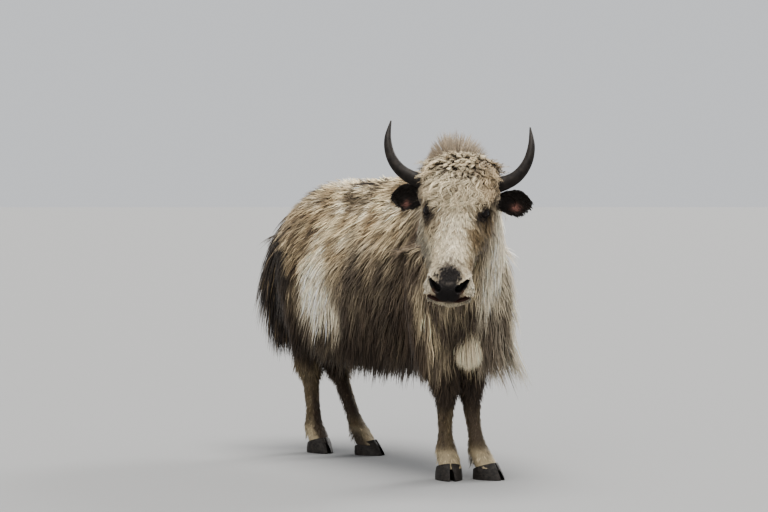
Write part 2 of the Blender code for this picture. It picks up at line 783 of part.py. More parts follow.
class Hair:
    """Lays locks on the parts and keeps those that stay clear of every other part."""

    def __init__(self, parts, seed):
        self.random = random.Random(seed)
        self.flesh = {name: tree_of(made) for name, made in parts.items()}
        self.laid = {name: [] for name in parts}
        self.trees = {name: [] for name in parts}

    def spread(self, amount):
        return self.random.uniform(-amount, amount)

    def is_clear(self, name, rings):
        if min(point.z for ring in rings for point in ring) < FLOOR:
            return False
        tree = lock_tree(rings)
        for other, flesh in self.flesh.items():
            if other != name and tree.overlap(flesh):
                return False
        others = [near for other in self.trees if other != name for near in self.trees[other]]
        return not any(tree.overlap(near) for near in others)

    def keep(self, name, path, size):
        """Keep a lock along a path of (place, normal) if it is clear of the other parts."""
        wide = lock_rings(path, size, CLEAR)
        if not self.is_clear(name, wide):
            return False
        self.laid[name].append(lock_rings(path, size, 0.0))
        self.trees[name].append(lock_tree(wide))
        return True

    def lay(self, name, skin, start, normal, flow, size, manner, sunk=ROOT_DEPTH):
        """One lock on the skin, raised, turned or shortened until it is clear, or left out."""
        if start is None:
            return
        length, width, thick = size
        lift, fall, cling, tip = manner
        for attempt in range(LAY_ATTEMPTS):
            turn = Matrix.Rotation(self.spread(0.10 + 0.06 * attempt), 3, normal)
            longer = length * (1 + self.spread(0.10)) * (1 - 0.05 * attempt)
            wider = width * (1 + self.spread(0.12))
            height = lift + 0.003 * attempt
            sway = self.spread(0.12)
            path = draped(skin, start, normal, turn @ flow, longer, (height, tip), fall, cling, sway, sunk)
            if self.keep(name, path, (wider, thick)):
                return

    def stand(self, name, start, normal, flow, size, sunk=ROOT_DEPTH):
        """One lock that stands off the skin along its own heading and bends a little over."""
        if start is None:
            return
        length, width, thick = size
        for attempt in range(STAND_ATTEMPTS):
            heading = (flow + Vector([self.spread(0.12) for _ in range(3)])).normalized()
            across = heading.cross(Vector((0.3, 1.0, 0.1))).normalized()
            out = across.cross(heading).normalized()
            bend = DOWN * 0.12 + out * self.spread(0.15)
            path = []
            steps = lock_steps(length)
            for k in range(steps + 1):
                share = k / steps
                reach = -sunk + (length * (1 - 0.06 * attempt) + sunk) * share
                path.append((start + heading * reach + bend * length * share**2, out))
            if self.keep(name, path, (width, thick)):
                return

    def finish(self, name, made):
        """Join the part's locks to its flesh in one step."""
        locks = [lock_object(rings) for rings in self.laid[name]]
        if locks:
            combined(made, "UNION", locks)


def lock_steps(length):
    """Bends in a lock, fewer in a short one."""
    return 3 if length < SHORT_LOCK else 4


def on_skin(skin, inside, outward, reach=0.6):
    """Point and normal where the line from inside the body comes out."""
    outward = outward.normalized()
    point, normal, _, _ = skin.ray_cast(inside + outward * reach, -outward)
    return point, normal


def draped(skin, start, normal, flow, length, lifts, fall, cling, sway, sunk):
    """Path of (place, normal) from a sunk root along the skin and down."""
    lift, tip = lifts
    heading = (flow - normal * flow.dot(normal)).normalized()
    path = [(start - normal * sunk - heading * sunk * 0.4, normal)]
    place = start + normal * lift * 0.5 + heading * length * 0.12
    steps = lock_steps(length)
    for k in range(1, steps + 1):
        near, out, _, _ = skin.find_nearest(place)
        height = (place - near).dot(out)
        wanted = lift * 0.6 + (lift * 0.4 + tip) * k / steps
        if height < wanted:
            place = near + out * wanted
            normal = out
        elif cling:
            place = place - out * (height - wanted) * cling
            normal = normal.lerp(out, cling).normalized()
        path.append((place, normal))
        if k > 1:
            heading = (place - path[-2][0]).normalized()
        heading = (heading * (1 - fall) + DOWN * fall).normalized()
        side = heading.cross(normal).normalized()
        place = place + (heading + side * sway * (-1) ** k).normalized() * length * 0.88 / steps
    return path


def lock_rings(path, size, extra):
    """Flat three-cornered rings along a lock, and its tip, made thicker all round by extra."""
    width, thick = size
    last = len(path) - 1
    rings = []
    for k, (centre, normal) in enumerate(path):
        ahead = path[min(k + 1, last)][0] - path[max(k - 1, 0)][0]
        side = ahead.cross(normal).normalized()
        out = side.cross(ahead).normalized()
        if k == last:
            rings.append([centre + out * extra + ahead.normalized() * extra])
            continue
        across, through = interpolate(LOCK_PROFILE, k / last)
        wide = width / 2 * across + extra
        low = centre - out * (thick * through * 0.35 + extra)
        high = centre + out * (thick * through * 0.65 + extra)
        rings.append([low - side * wide, low + side * wide, high])
    return rings


def lock_faces(rings):
    """Points and triangles of a lock from its rings and its tip."""
    points = [point for ring in rings for point in ring]
    faces = [(2, 1, 0)]
    last = 3 * (len(rings) - 2)
    for first in range(0, last, 3):
        for i in range(3):
            a = first + i
            b = first + (i + 1) % 3
            faces.append((a, b, b + 3))
            faces.append((a, b + 3, a + 3))
    for i in range(3):
        faces.append((last + i, last + (i + 1) % 3, last + 3))
    return points, faces


def lock_tree(rings):
    return BVHTree.FromPolygons(*lock_faces(rings))


def lock_object(rings):
    points, faces = lock_faces(rings)
    mesh = bmesh.new()
    corners = [mesh.verts.new(point) for point in points]
    for face in faces:
        mesh.faces.new([corners[i] for i in face])
    bmesh.ops.recalc_face_normals(mesh, faces=mesh.faces)
    return object_from("lock", mesh)


# Places where the long hair grows. Each way of lying is given as the lift of the middle of a lock, its
# share of gravity, how it clings to the skin, and the extra lift of its tip; sizes are length, width, depth.

TRUNK_SPANS = (  # part, first and last place along the body, columns down a side, locks along the back
    ("forequarters", 0.000, 0.312, 3, 3),
    ("barrel", 0.366, 0.810, 4, 4),
    ("hindquarters", 0.880, 1.130, 3, 3),
)
SIDE_TIERS = (  # height, length, width, thickness, lift, share of gravity, how far it sweeps back
    (0.910, 0.310, 0.100, 0.022, 0.012, 0.08, 0.34),
    (0.735, 0.320, 0.100, 0.026, 0.014, 0.16, 0.24),
    (0.545, 0.290, 0.092, 0.030, 0.018, 0.28, 0.06),
)
SIDE_TIP = 0.018
RIDGE_SIZE = (0.200, 0.115, 0.026)
RIDGE_MANNER = (0.008, 0.0, 0.4, 0.008)


def trunk_hair(hair, body):
    """Tiers of locks down each side of the trunk, with a row of them along the back."""
    for name, start, end, columns, ridge in reversed(TRUNK_SPANS):
        for side in SIDES.values():
            for row, (height, length, width, thick, lift, fall, sweep) in enumerate(SIDE_TIERS):
                count = columns + row // 2
                for k in range(count):
                    y = start + (end - start) * (k + (0.35, 0.70, 0.45)[row]) / count + hair.spread(0.008)
                    inside = Vector((0.0, y, height + hair.spread(0.012)))
                    point, normal = on_skin(body, inside, Vector((side, 0.0, 0.0)))
                    flow = Vector((0.0, sweep, -1.0))
                    manner = (lift, fall, 0.0, SIDE_TIP)
                    hair.lay(name, body, point, normal, flow, (length, width, thick), manner)
        for k in range(ridge):
            y = start + (end - start) * (k + 0.5) / ridge
            side = 1.0 if k % 2 else -1.0
            point, normal = on_skin(body, Vector((side * 0.03, y, 0.80)), Vector((side * 0.12, 0.0, 1.0)))
            flow = Vector((side * 0.7, 0.9, -0.2))
            hair.lay(name, body, point, normal, flow, RIDGE_SIZE, RIDGE_MANNER)


CREST = (0.005, 0.200, 4)  # first and last place along the body, pairs of locks
CREST_WIDTH = 0.078
CREST_DEPTH = 0.034


def crest_hair(hair, body):
    """Upright tuft along the top of the hump."""
    start, end, count = CREST
    for k in range(count):
        share = (k + 0.5) / count
        for side in (-1.0, 1.0):
            y = start + (end - start) * share
            length = 0.140 - 0.070 * share
            point, normal = on_skin(body, Vector((side * 0.022, y, 0.85)), Vector((0.0, 0.0, 1.0)))
            flow = Vector((side * 0.10, 0.80 * share, 1.0)).normalized()
            hair.stand("forequarters", point, normal, flow, (length, CREST_WIDTH, CREST_DEPTH))


BRISKET_ROWS = (  # height, half angle round the breast, count, length
    (0.720, 58.0, 3, 0.270),
    (0.600, 80.0, 4, 0.270),
    (0.500, 80.0, 4, 0.240),
)
BRISKET_WIDTH = 0.098
BRISKET_DEPTH = 0.028
BRISKET_MANNER = (0.010, 0.25, 0.0, 0.004)


def brisket_hair(hair, body):
    """Locks round the front of the chest that hang below the brisket."""
    for height, spread_angle, count, length in BRISKET_ROWS:
        for k in range(count):
            angle = math.radians(spread_angle) * (2 * (k + 0.5) / count - 1) + hair.spread(0.05)
            outward = Vector((math.sin(angle), -math.cos(angle), 0.0))
            point, normal = on_skin(body, Vector((0.0, 0.030, height)), outward)
            size = (length, BRISKET_WIDTH, BRISKET_DEPTH)
            hair.lay("forequarters", body, point, normal, Vector((0.0, 0.05, -1.0)), size, BRISKET_MANNER)


RUMP_ROWS = (  # height, turn from straight back, length
    (0.770, 0.55, 0.230),
    (0.590, 0.60, 0.250),
)
RUMP_WIDTH = 0.094
RUMP_DEPTH = 0.028
RUMP_MANNER = (0.010, 0.3, 0.0, 0.004)


def rump_hair(hair, body):
    """Locks on the back of the thighs, to each side of the tail."""
    for height, turn, length in RUMP_ROWS:
        for side in SIDES.values():
            for share in (0.75, 1.35):
                outward = Vector((side * math.sin(turn * share), math.cos(turn * share), 0.0))
                point, normal = on_skin(body, Vector((side * 0.06, 1.00, height)), outward)
                size = (length, RUMP_WIDTH, RUMP_DEPTH)
                hair.lay("hindquarters", body, point, normal, Vector((0.0, 0.1, -1.0)), size, RUMP_MANNER)


NECK_ROWS = (  # distance along the neck from the chest, count round it, length
    (0.78, 7, 0.150),
    (0.45, 9, 0.210),
)
NECK_WIDTH = 0.108
NECK_DEPTH = 0.026
NECK_MANNER = (0.010, 0.25, 0.1, 0.004)


def neck_hair(hair, body):
    """Mane and ruff: locks round the neck that sweep down and back."""
    for share, count, length in NECK_ROWS:
        x, y, z = interpolate(NECK, share)[:3]
        ahead = Vector((interpolate(NECK, share + 0.05) - interpolate(NECK, share - 0.05))[:3]).normalized()
        left = Vector((0.0, 0.0, 1.0)).cross(ahead).normalized()
        rise = ahead.cross(left)
        for k in range(count):
            angle = 2 * math.pi * (k + 0.5) / count
            outward = left * math.cos(angle) + rise * math.sin(angle)
            point, normal = on_skin(body, Vector((x, y, z)), outward, 0.5)
            size = (length, NECK_WIDTH, NECK_DEPTH)
            hair.lay("neck", body, point, normal, -ahead * 0.5 + DOWN, size, NECK_MANNER)


TAIL_TIERS = (  # height share down the tail, count round it, length, outward share
    (0.30, 5, 0.290, 0.22),
    (0.54, 6, 0.290, 0.20),
    (0.82, 5, 0.240, 0.10),
)
TAIL_WIDTH = 0.104
TAIL_DEPTH = 0.036


def tail_hair(hair, tail):
    """Long hair all round the tail from just below its root, as a bushy brush."""
    for share, count, length, outward_share in TAIL_TIERS:
        x, y, z = interpolate(TAIL, share)[:3]
        ahead = Vector((interpolate(TAIL, share + 0.05) - interpolate(TAIL, share - 0.05))[:3]).normalized()
        for k in range(count):
            angle = 2 * math.pi * (k + 0.5 * (count % 2)) / count
            outward = Vector((math.cos(angle), math.sin(angle), 0.0))
            point, normal = on_skin(tail, Vector((x, y, z)), outward, 0.2)
            flow = (ahead * share + DOWN * (1.1 - share) + outward * outward_share).normalized()
            hair.stand("tail", point, normal, flow, (length, TAIL_WIDTH, TAIL_DEPTH))


FORELOCK_ROWS = (  # place down the face, half spread across it, count
    (0.000, 0.078, 4),
    (0.045, 0.092, 5),
    (0.095, 0.086, 4),
)
FORELOCK_SIZE = (0.090, 0.052, 0.016)
FORELOCK_MANNER = (0.006, 0.05, 0.5, 0.004)
POLL_LOCKS = 6
POLL_SIZE = (0.080, 0.064, 0.020)
POLL_MANNER = (0.006, 0.10, 0.3, 0.004)
CHEEK_ROWS = (  # place down the face, depth behind it, length
    (0.070, -0.050, 0.095),
    (0.130, -0.060, 0.095),
    (0.190, -0.060, 0.080),
)
CHEEK_MANNER = (0.006, 0.12, 0.2, 0.004)
BEARD_ROWS = (  # place to one side, place down the face, size
    (0.012, 0.370, (0.060, 0.036, 0.014)),
    (0.016, 0.310, (0.075, 0.042, 0.014)),
)
BEARD_MANNER = (0.004, 0.3, 0.0, 0.004)
HEAD_ROOT_DEPTH = 0.010


def head_hair(hair, head):
    """Forelock down the forehead, the tuft of the poll, cheeks and a short beard."""
    turned = HEAD.to_3x3()

    def lay(inside, outward, flow, size, manner):
        point, normal = on_skin(head, HEAD @ Vector(inside), turned @ Vector(outward), 0.4)
        hair.lay("head", head, point, normal, turned @ Vector(flow), size, manner, HEAD_ROOT_DEPTH)

    for y, half_spread, count in FORELOCK_ROWS:
        for k in range(count):
            across = 2 * (k + 0.5) / count - 1
            inside = (across * half_spread, y, 0.0)
            lay(inside, (0.2 * across, 0.0, 1.0), (0.7 * across, 1.0, 0.0), FORELOCK_SIZE, FORELOCK_MANNER)
    for k in range(POLL_LOCKS):
        angle = 2 * math.pi * (k + 0.5) / POLL_LOCKS
        inside = (0.045 * math.cos(angle), 0.02, -0.02 + 0.04 * math.sin(angle))
        flow = (math.cos(angle), -0.15, math.sin(angle))
        lay(inside, (0.0, -1.0, 0.0), flow, POLL_SIZE, POLL_MANNER)
    for side in SIDES.values():
        for y, z, length in CHEEK_ROWS:
            lay((0.0, y, z), (side, 0.0, -0.15), (0.0, 1.0, -0.7), (length, 0.050, 0.016), CHEEK_MANNER)
        for x, y, size in BEARD_ROWS:
            lay((side * x, y, 0.0), (side * 0.3, 0.0, -1.0), (0.0, 0.75, -0.4), size, BEARD_MANNER)


EAR_FRINGE = (0.035, 0.065, 0.095)
EAR_LOCK_SIZE = (0.032, 0.034, 0.010)
EAR_ROOT_DEPTH = 0.004


def ear_hair(hair, ear, name):
    """Hair that hangs from the lower edge and tip of an ear."""
    side = SIDES[name]
    turned = HEAD.to_3x3()
    for reach in EAR_FRINGE:
        low = EAR_ROOT + Vector((reach, 0.064, -0.012))
        target = HEAD @ Vector((side * low.x, low.y, low.z))
        point, normal, _, _ = ear.find_nearest(target)
        flow = turned @ Vector((side * 0.9, 0.75, -0.2))
        hair.stand("ear_" + name, point, normal, flow.normalized(), EAR_LOCK_SIZE, EAR_ROOT_DEPTH)


LEG_TUFTS = (-60.0, 5.0, 70.0)  # turn round the leg from its back toward the outside
LEG_TUFT_SIZES = {"fore": (0.160, 0.066, 0.022), "hind": (0.130, 0.066, 0.022)}
LEG_MANNER = (0.008, 0.1, 0.2, 0.010)


def leg_hair(hair, parts):
    """Hair down the back and outside of each upper leg."""
    for leg, hoof in HOOVES.items():
        end, side_name = leg.split("_")
        name = end + "leg_upper_" + side_name
        skin = hair.flesh[name]
        top = ELBOW_CUT_Z if end == "fore" else STIFLE_CUT_Z
        corners = [vert.co for vert in parts[name].data.vertices if vert.co.z > top - 0.06]
        middle = sum(corners, Vector()) / len(corners)
        middle.z = top - 0.030
        for turn in LEG_TUFTS:
            angle = math.radians(turn)
            outward = Vector((SIDES[side_name] * math.sin(angle), math.cos(angle), 0.0))
            point, normal = on_skin(skin, middle, outward, 0.2)
            hair.lay(name, skin, point, normal, DOWN, LEG_TUFT_SIZES[end], LEG_MANNER)


# Colours of the coat, horn, hoof and eye

FINISHES = (  # start of the part's name, colour, roughness
    ("head", (0.72, 0.66, 0.57), 0.85),
    ("ear", (0.055, 0.047, 0.042), 0.80),
    ("eye", (0.018, 0.013, 0.010), 0.12),
    ("horn", (0.075, 0.066, 0.060), 0.42),
    ("neck", (0.50, 0.44, 0.37), 0.88),
    ("forequarters", (0.56, 0.50, 0.42), 0.88),
    ("barrel", (0.60, 0.54, 0.45), 0.88),
    ("hindquarters", (0.52, 0.45, 0.36), 0.88),
    ("tail", (0.075, 0.058, 0.045), 0.85),
    ("foreleg", (0.60, 0.53, 0.43), 0.85),
    ("hindleg", (0.50, 0.43, 0.34), 0.85),
    ("claw", (0.060, 0.054, 0.050), 0.50),
)


def paint(name, made):
    start, colour, roughness = next(row for row in FINISHES if name.startswith(row[0]))
    material = bpy.data.materials.new(name)
    material.use_nodes = True
    shader = material.node_tree.nodes["Principled BSDF"]
    shader.inputs["Base Color"].default_value = (*colour, 1.0)
    shader.inputs["Roughness"].default_value = roughness
    material.diffuse_color = (*colour, 1.0)
    made.data.materials.clear()
    made.data.materials.append(material)


def main():
    for existing in list(bpy.data.objects):
        bpy.data.objects.remove(existing)
    parts, body = body_parts()
    parts.update(head_parts())
    shape_of_head = loft("head_shape", head_rings())
    combined(parts["neck"], "DIFFERENCE", [grown(shape_of_head)])
    bpy.data.objects.remove(shape_of_head)
    tail = loft("tail", tube_rings(TAIL, 12, 8, Matrix.Identity(4)))
    combined(parts["hindquarters"], "DIFFERENCE", [grown(tail)])
    parts["tail"] = tail
    for leg in HOOVES:
        for side_name, side in SIDES.items():
            name = "claw_" + leg + "_" + side_name
            parts[name] = loft(name, claw_rings(leg, side))
    hair = Hair(parts, 7)
    leg_hair(hair, parts)
    tail_hair(hair, hair.flesh["tail"])
    rump_hair(hair, body)
    trunk_hair(hair, body)
    brisket_hair(hair, body)
    crest_hair(hair, body)
    neck_hair(hair, body)
    head_hair(hair, hair.flesh["head"])
    for name in SIDES:
        ear_hair(hair, hair.flesh["ear_" + name], name)
    for name, made in parts.items():
        hair.finish(name, made)
        made.location = PLAN_TO_ROW
        paint(name, made)


if __name__ in ("__main__", "part"):
    main()
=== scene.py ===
"""Looks of a long-haired domestic yak cow, life size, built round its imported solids.

The skin, head, horns, ears, eyes and hooves are meshes lofted from named rows, and the coat is solid
tufts of hair that follow guides draped over the skin. Metres, +Z up, the yak faces -Y.
Shapes are worked out in the plan frame, and PLAN_TO_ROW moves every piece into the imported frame.
"""

import math
from collections import namedtuple

import bpy
import numpy as np
from mathutils import Matrix, Vector
from mathutils.bvhtree import BVHTree
from mathutils.kdtree import KDTree


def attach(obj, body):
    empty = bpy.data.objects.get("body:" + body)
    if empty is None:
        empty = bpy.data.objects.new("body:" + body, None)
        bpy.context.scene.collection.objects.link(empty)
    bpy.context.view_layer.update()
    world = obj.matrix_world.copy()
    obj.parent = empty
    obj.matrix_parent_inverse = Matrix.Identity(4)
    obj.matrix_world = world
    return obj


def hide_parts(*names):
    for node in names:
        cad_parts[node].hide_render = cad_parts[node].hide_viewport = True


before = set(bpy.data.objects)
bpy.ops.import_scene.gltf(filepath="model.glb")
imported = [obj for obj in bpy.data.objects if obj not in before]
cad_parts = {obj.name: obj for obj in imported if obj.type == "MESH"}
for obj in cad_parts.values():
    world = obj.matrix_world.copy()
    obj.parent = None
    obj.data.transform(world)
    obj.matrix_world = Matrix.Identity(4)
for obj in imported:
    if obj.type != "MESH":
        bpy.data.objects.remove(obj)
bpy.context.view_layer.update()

PLAN_TO_ROW = np.array((0.0523, -0.4736, 0.0))  # from the plan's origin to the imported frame's
SIDES = {"right": -1.0, "left": 1.0}
UP = np.array((0.0, 0.0, 1.0))
VIEW_X, VIEW_Y = 0.473, 0.881  # heading of the camera
TAU = 2 * math.pi


# Small vector helpers


def unit(vectors):
    return vectors / np.maximum(np.linalg.norm(vectors, axis=-1, keepdims=True), 1e-9)


def dot(a, b):
    return (a * b).sum(-1)


def step(low, high, values):
    """Smooth step from 0 at low to 1 at high."""
    share = np.clip((values - low) / (high - low), 0, 1)
    return share * share * (3 - 2 * share)


def bell(values, middle, reach):
    return np.exp(-(((values - middle) / reach) ** 2))


def mix(a, b, share):
    return a + (b - a) * share


def oval(a, b, half_a, half_b):
    """Measure that is 1 on the edge of an oval with these half widths."""
    return np.sqrt((a / half_a) ** 2 + (b / half_b) ** 2)


def xyz(*parts):
    """Points from their coordinates, each an array or one number."""
    return np.stack(np.broadcast_arrays(*parts), -1)


def ripple(points, size, seed):
    """Smooth noise of about -1 to 1 with features of this size, from a few waves."""
    draw = np.random.default_rng(seed)
    total = np.zeros(len(points))
    for _ in range(7):
        wave = unit(draw.normal(size=3)) * draw.uniform(0.7, 1.5) * TAU / (size * 2)
        total += np.sin(points @ wave + draw.uniform(0, TAU))
    return total / 2.6


def along_rows(rows, shares):
    """Smooth rows between given rows, at shares from 0 at the first to 1 at the last."""
    rows = np.asarray(rows, float)
    place = np.clip(shares, 0, 1) * (len(rows) - 1)
    i = np.minimum(place.astype(int), len(rows) - 2)
    t = (place - i)[..., None]
    start, end = rows[i], rows[i + 1]
    rise = (end - rows[np.maximum(i - 1, 0)]) / 2
    fall = (rows[np.minimum(i + 2, len(rows) - 1)] - start) / 2
    return (
        start * (2 * t**3 - 3 * t**2 + 1)
        + rise * (t**3 - 2 * t**2 + t)
        + end * (3 * t**2 - 2 * t**3)
        + fall * (t**3 - t**2)
    )


def signed_power(values, power):
    return np.sign(values) * np.abs(values) ** power


# Meshes from arrays


def mesh_object(name, points, faces):
    """Smooth-shaded object in the plan frame, from points and faces of one size."""
    faces = np.asarray(faces, np.int32)
    corners = faces.shape[1]
    data = bpy.data.meshes.new(name)
    data.vertices.add(len(points))
    data.vertices.foreach_set("co", np.asarray(points, np.float32).ravel())
    data.loops.add(faces.size)
    data.loops.foreach_set("vertex_index", faces.ravel())
    data.polygons.add(len(faces))
    data.polygons.foreach_set("loop_start", np.arange(0, faces.size, corners, dtype=np.int32))
    data.polygons.foreach_set("use_smooth", np.ones(len(faces), bool))
    data.update(calc_edges=True)
    made = bpy.data.objects.new(name, data)
    bpy.context.scene.collection.objects.link(made)
    return made


def grid_faces(rings, sides):
    """Triangles of a closed tube of rings, with a fan to one point at each end, placed after the rings."""
    i, j = np.meshgrid(np.arange(rings - 1), np.arange(sides), indexing="ij")
    a = (i * sides + j).ravel()
    b = (i * sides + (j + 1) % sides).ravel()
    c, d = b + sides, a + sides
    k = np.arange(sides)
    after = (k + 1) % sides
    top = (rings - 1) * sides
    first, last = np.full(sides, rings * sides), np.full(sides, rings * sides + 1)
    walls = (np.stack((a, c, b), 1), np.stack((a, d, c), 1))
    ends = (np.stack((first, k, after), 1), np.stack((last, top + after, top + k), 1))
    return np.concatenate(walls + ends)


def tube_mesh(rings):
    """Points and triangles of a closed solid through rings, shaped (rings, sides, 3)."""
    points = np.concatenate((rings.reshape(-1, 3), rings[0].mean(0)[None], rings[-1].mean(0)[None]))
    faces = grid_faces(rings.shape[0], rings.shape[1])
    a, b, c = points[faces[:, 0]], points[faces[:, 1]], points[faces[:, 2]]
    if dot(a, np.cross(b, c)).sum() < 0:
        faces = faces[:, ::-1]
    return points, faces


def together(parts):
    """One points array and one faces array from several."""
    points, faces, count = [], [], 0
    for own_points, own_faces in parts:
        points.append(own_points)
        faces.append(own_faces + count)
        count += len(own_points)
    return np.concatenate(points), np.concatenate(faces)


def read(made):
    """Points, vertex normals and triangles of an object's mesh."""
    data = made.data
    points = np.empty(len(data.vertices) * 3, np.float32)
    data.vertices.foreach_get("co", points)
    normals = np.empty(len(data.vertices) * 3, np.float32)
    data.vertex_normals.foreach_get("vector", normals)
    data.calc_loop_triangles()
    triangles = np.empty(len(data.loop_triangles) * 3, np.int32)
    data.loop_triangles.foreach_get("vertices", triangles)
    points, normals = (values.reshape(-1, 3).astype(float) for values in (points, normals))
    return points, normals, triangles.reshape(-1, 3)


def applied(made):
    """Give an object the mesh its modifiers make, and drop the modifiers."""
    shaped = bpy.data.meshes.new_from_object(made.evaluated_get(bpy.context.evaluated_depsgraph_get()))
    made.modifiers.clear()
    made.data = shaped
    return made


# Trunk, neck, legs and dock, as in the solids

HUMP_TOP, BACK_TOP, RUMP_TOP = 1.100, 1.026, 0.998
BRISKET_BOTTOM, BELLY_BOTTOM = 0.455, 0.430
TRUNK = (  # y, half width, top, bottom, how much the upper half narrows
    (-0.150, 0.028, 0.740, 0.620, 0.1),
    (-0.115, 0.080, 0.870, 0.515, 0.1),
    (-0.050, 0.112, 0.985, BRISKET_BOTTOM + 0.015, 0.30),
    (0.030, 0.142, HUMP_TOP - 0.035, BRISKET_BOTTOM, 0.40),
    (0.120, 0.178, HUMP_TOP, BRISKET_BOTTOM, 0.48),
    (0.250, 0.212, 1.055, 0.450, 0.46),
    (0.450, 0.235, BACK_TOP + 0.003, BELLY_BOTTOM + 0.004, 0.44),
    (0.620, 0.245, BACK_TOP - 0.006, BELLY_BOTTOM, 0.40),
    (0.790, 0.235, BACK_TOP - 0.010, BELLY_BOTTOM + 0.020, 0.30),
    (0.920, 0.232, BACK_TOP - 0.012, 0.500, 0.14),
    (1.020, 0.220, RUMP_TOP, 0.560, 0.15),
    (1.120, 0.190, RUMP_TOP - 0.035, 0.610, 0.15),
    (1.190, 0.135, 0.900, 0.660, 0.10),
    (1.235, 0.040, 0.820, 0.740, 0.0),
)
NECK = (  # centre x, y, z, half width, half depth, from inside the chest to inside the head
    (-0.005, 0.060, 0.800, 0.150, 0.240),
    (-0.055, -0.060, 0.820, 0.128, 0.225),
    (-0.100, -0.160, 0.865, 0.108, 0.200),
    (-0.137, -0.225, 0.920, 0.102, 0.165),
    (-0.165, -0.275, 0.965, 0.098, 0.125),
)
HOOVES = {
    "fore_right": np.array((-0.062, 0.025, 0.0)),
    "fore_left": np.array((0.058, -0.025, 0.0)),
    "hind_right": np.array((-0.060, 1.020, 0.0)),
    "hind_left": np.array((0.060, 0.860, 0.0)),
}
HOOF_TURN = {"fore_right": -20.0, "fore_left": 16.0, "hind_right": 4.0, "hind_left": 27.0}
CORONET_Z, CORONET_SLOPE = 0.045, 0.34
PASTERN_SLOPE = 0.034
FETLOCK_Z, KNEE_Z, HOCK_Z = 0.100, 0.262, 0.375
FORE_LEG = (  # offset in x away from the middle, offset in y, z, half width, half depth
    (0.060, 0.030, 0.800, 0.075, 0.130),
    (0.052, 0.020, 0.680, 0.080, 0.125),
    (0.042, 0.030, 0.560, 0.073, 0.105),
    (0.026, 0.035, 0.480, 0.060, 0.080),
    (0.010, 0.020, 0.380, 0.047, 0.056),
    (0.000, 0.006, 0.300, 0.037, 0.044),
    (0.001, 0.000, 0.260, 0.037, 0.045),
    (-0.001, 0.006, 0.215, 0.033, 0.036),
    (0.000, 0.008, 0.160, 0.030, 0.033),
    (0.000, 0.008, 0.115, 0.037, 0.040),
    (0.000, 0.004, 0.090, 0.040, 0.043),
    (0.000, -0.006, 0.066, 0.040, 0.041),
    (0.000, -0.014, 0.030, 0.046, 0.049),
)
HIND_LEG = (
    (0.060, 0.010, 0.840, 0.085, 0.170),
    (0.065, -0.030, 0.720, 0.095, 0.175),
    (0.070, -0.060, 0.620, 0.090, 0.150),
    (0.058, -0.040, 0.530, 0.070, 0.105),
    (0.035, 0.020, 0.450, 0.048, 0.066),
    (0.016, 0.055, 0.385, 0.040, 0.058),
    (0.010, 0.052, 0.330, 0.039, 0.050),
    (0.004, 0.035, 0.250, 0.035, 0.041),
    (0.000, 0.018, 0.165, 0.033, 0.036),
    (0.000, 0.010, 0.118, 0.037, 0.041),
    (0.000, 0.004, 0.092, 0.040, 0.043),
    (0.000, -0.006, 0.066, 0.040, 0.041),
    (0.000, -0.014, 0.030, 0.046, 0.049),
)
LEG_LEAN = {  # how far the knee or hock, and then the elbow or stifle, stand in and back of a plumb leg
    "fore_right": ((-0.012, -0.012), (-0.010, -0.030)),
    "fore_left": ((0.012, 0.034), (0.020, 0.041)),
    "hind_right": ((0.000, -0.028), (0.004, -0.034)),
    "hind_left": ((0.035, 0.118), (0.016, 0.150)),
}
DOCK = (  # tail under its hair, swung to the yak's right
    (0.000, 1.120, 0.932, 0.026),
    (0.000, 1.215, 0.930, 0.030),
    (-0.030, 1.262, 0.880, 0.038),
    (-0.066, 1.284, 0.795, 0.044),
    (-0.088, 1.286, 0.690, 0.046),
    (-0.080, 1.270, 0.590, 0.038),
    (-0.052, 1.248, 0.500, 0.014),
)


WIDEST_AT = 0.47  # share of the trunk's height
LEAN_RISE = 0.22  # height over the knee or hock where a leg's lean is full


def trunk_rings(count=120, sides=96):
    """Upright rings of the trunk, from the brisket to the rump."""
    rows = along_rows(TRUNK, np.linspace(0, 1, count))
    y, half, top, bottom, narrow = (rows[:, i, None] for i in range(5))
    middle = bottom + (top - bottom) * WIDEST_AT
    angle = TAU * np.arange(sides)[None] / sides
    across = signed_power(np.cos(angle), 0.9)
    rise = signed_power(np.sin(angle), 0.92)
    height = np.where(rise > 0, (top - middle) * rise, (middle - bottom) * rise)
    pinch = 1 - narrow * np.maximum(rise, 0) ** 1.25
    return xyz(half * across * pinch, y, middle + height)


def neck_rings(count=40, sides=72):
    shares = np.linspace(0, 1, count)
    rows = along_rows(NECK, shares)
    ahead = unit((along_rows(NECK, shares + 0.05) - along_rows(NECK, shares - 0.05))[:, :3])
    left = unit(np.cross(UP, ahead))
    rise = np.cross(ahead, left)
    angle = TAU * np.arange(sides)[None, :, None] / sides
    side = left[:, None] * rows[:, None, 3:4] * np.cos(angle)
    return rows[:, None, :3] + side + rise[:, None] * rows[:, None, 4:5] * np.sin(angle)


def foot_place(leg, offset):
    """Places given from the middle of a hoof, sideways and back as the foot is turned."""
    turn = np.array(Matrix.Rotation(math.radians(HOOF_TURN[leg]), 3, "Z"))
    return HOOVES[leg] + offset @ turn.T


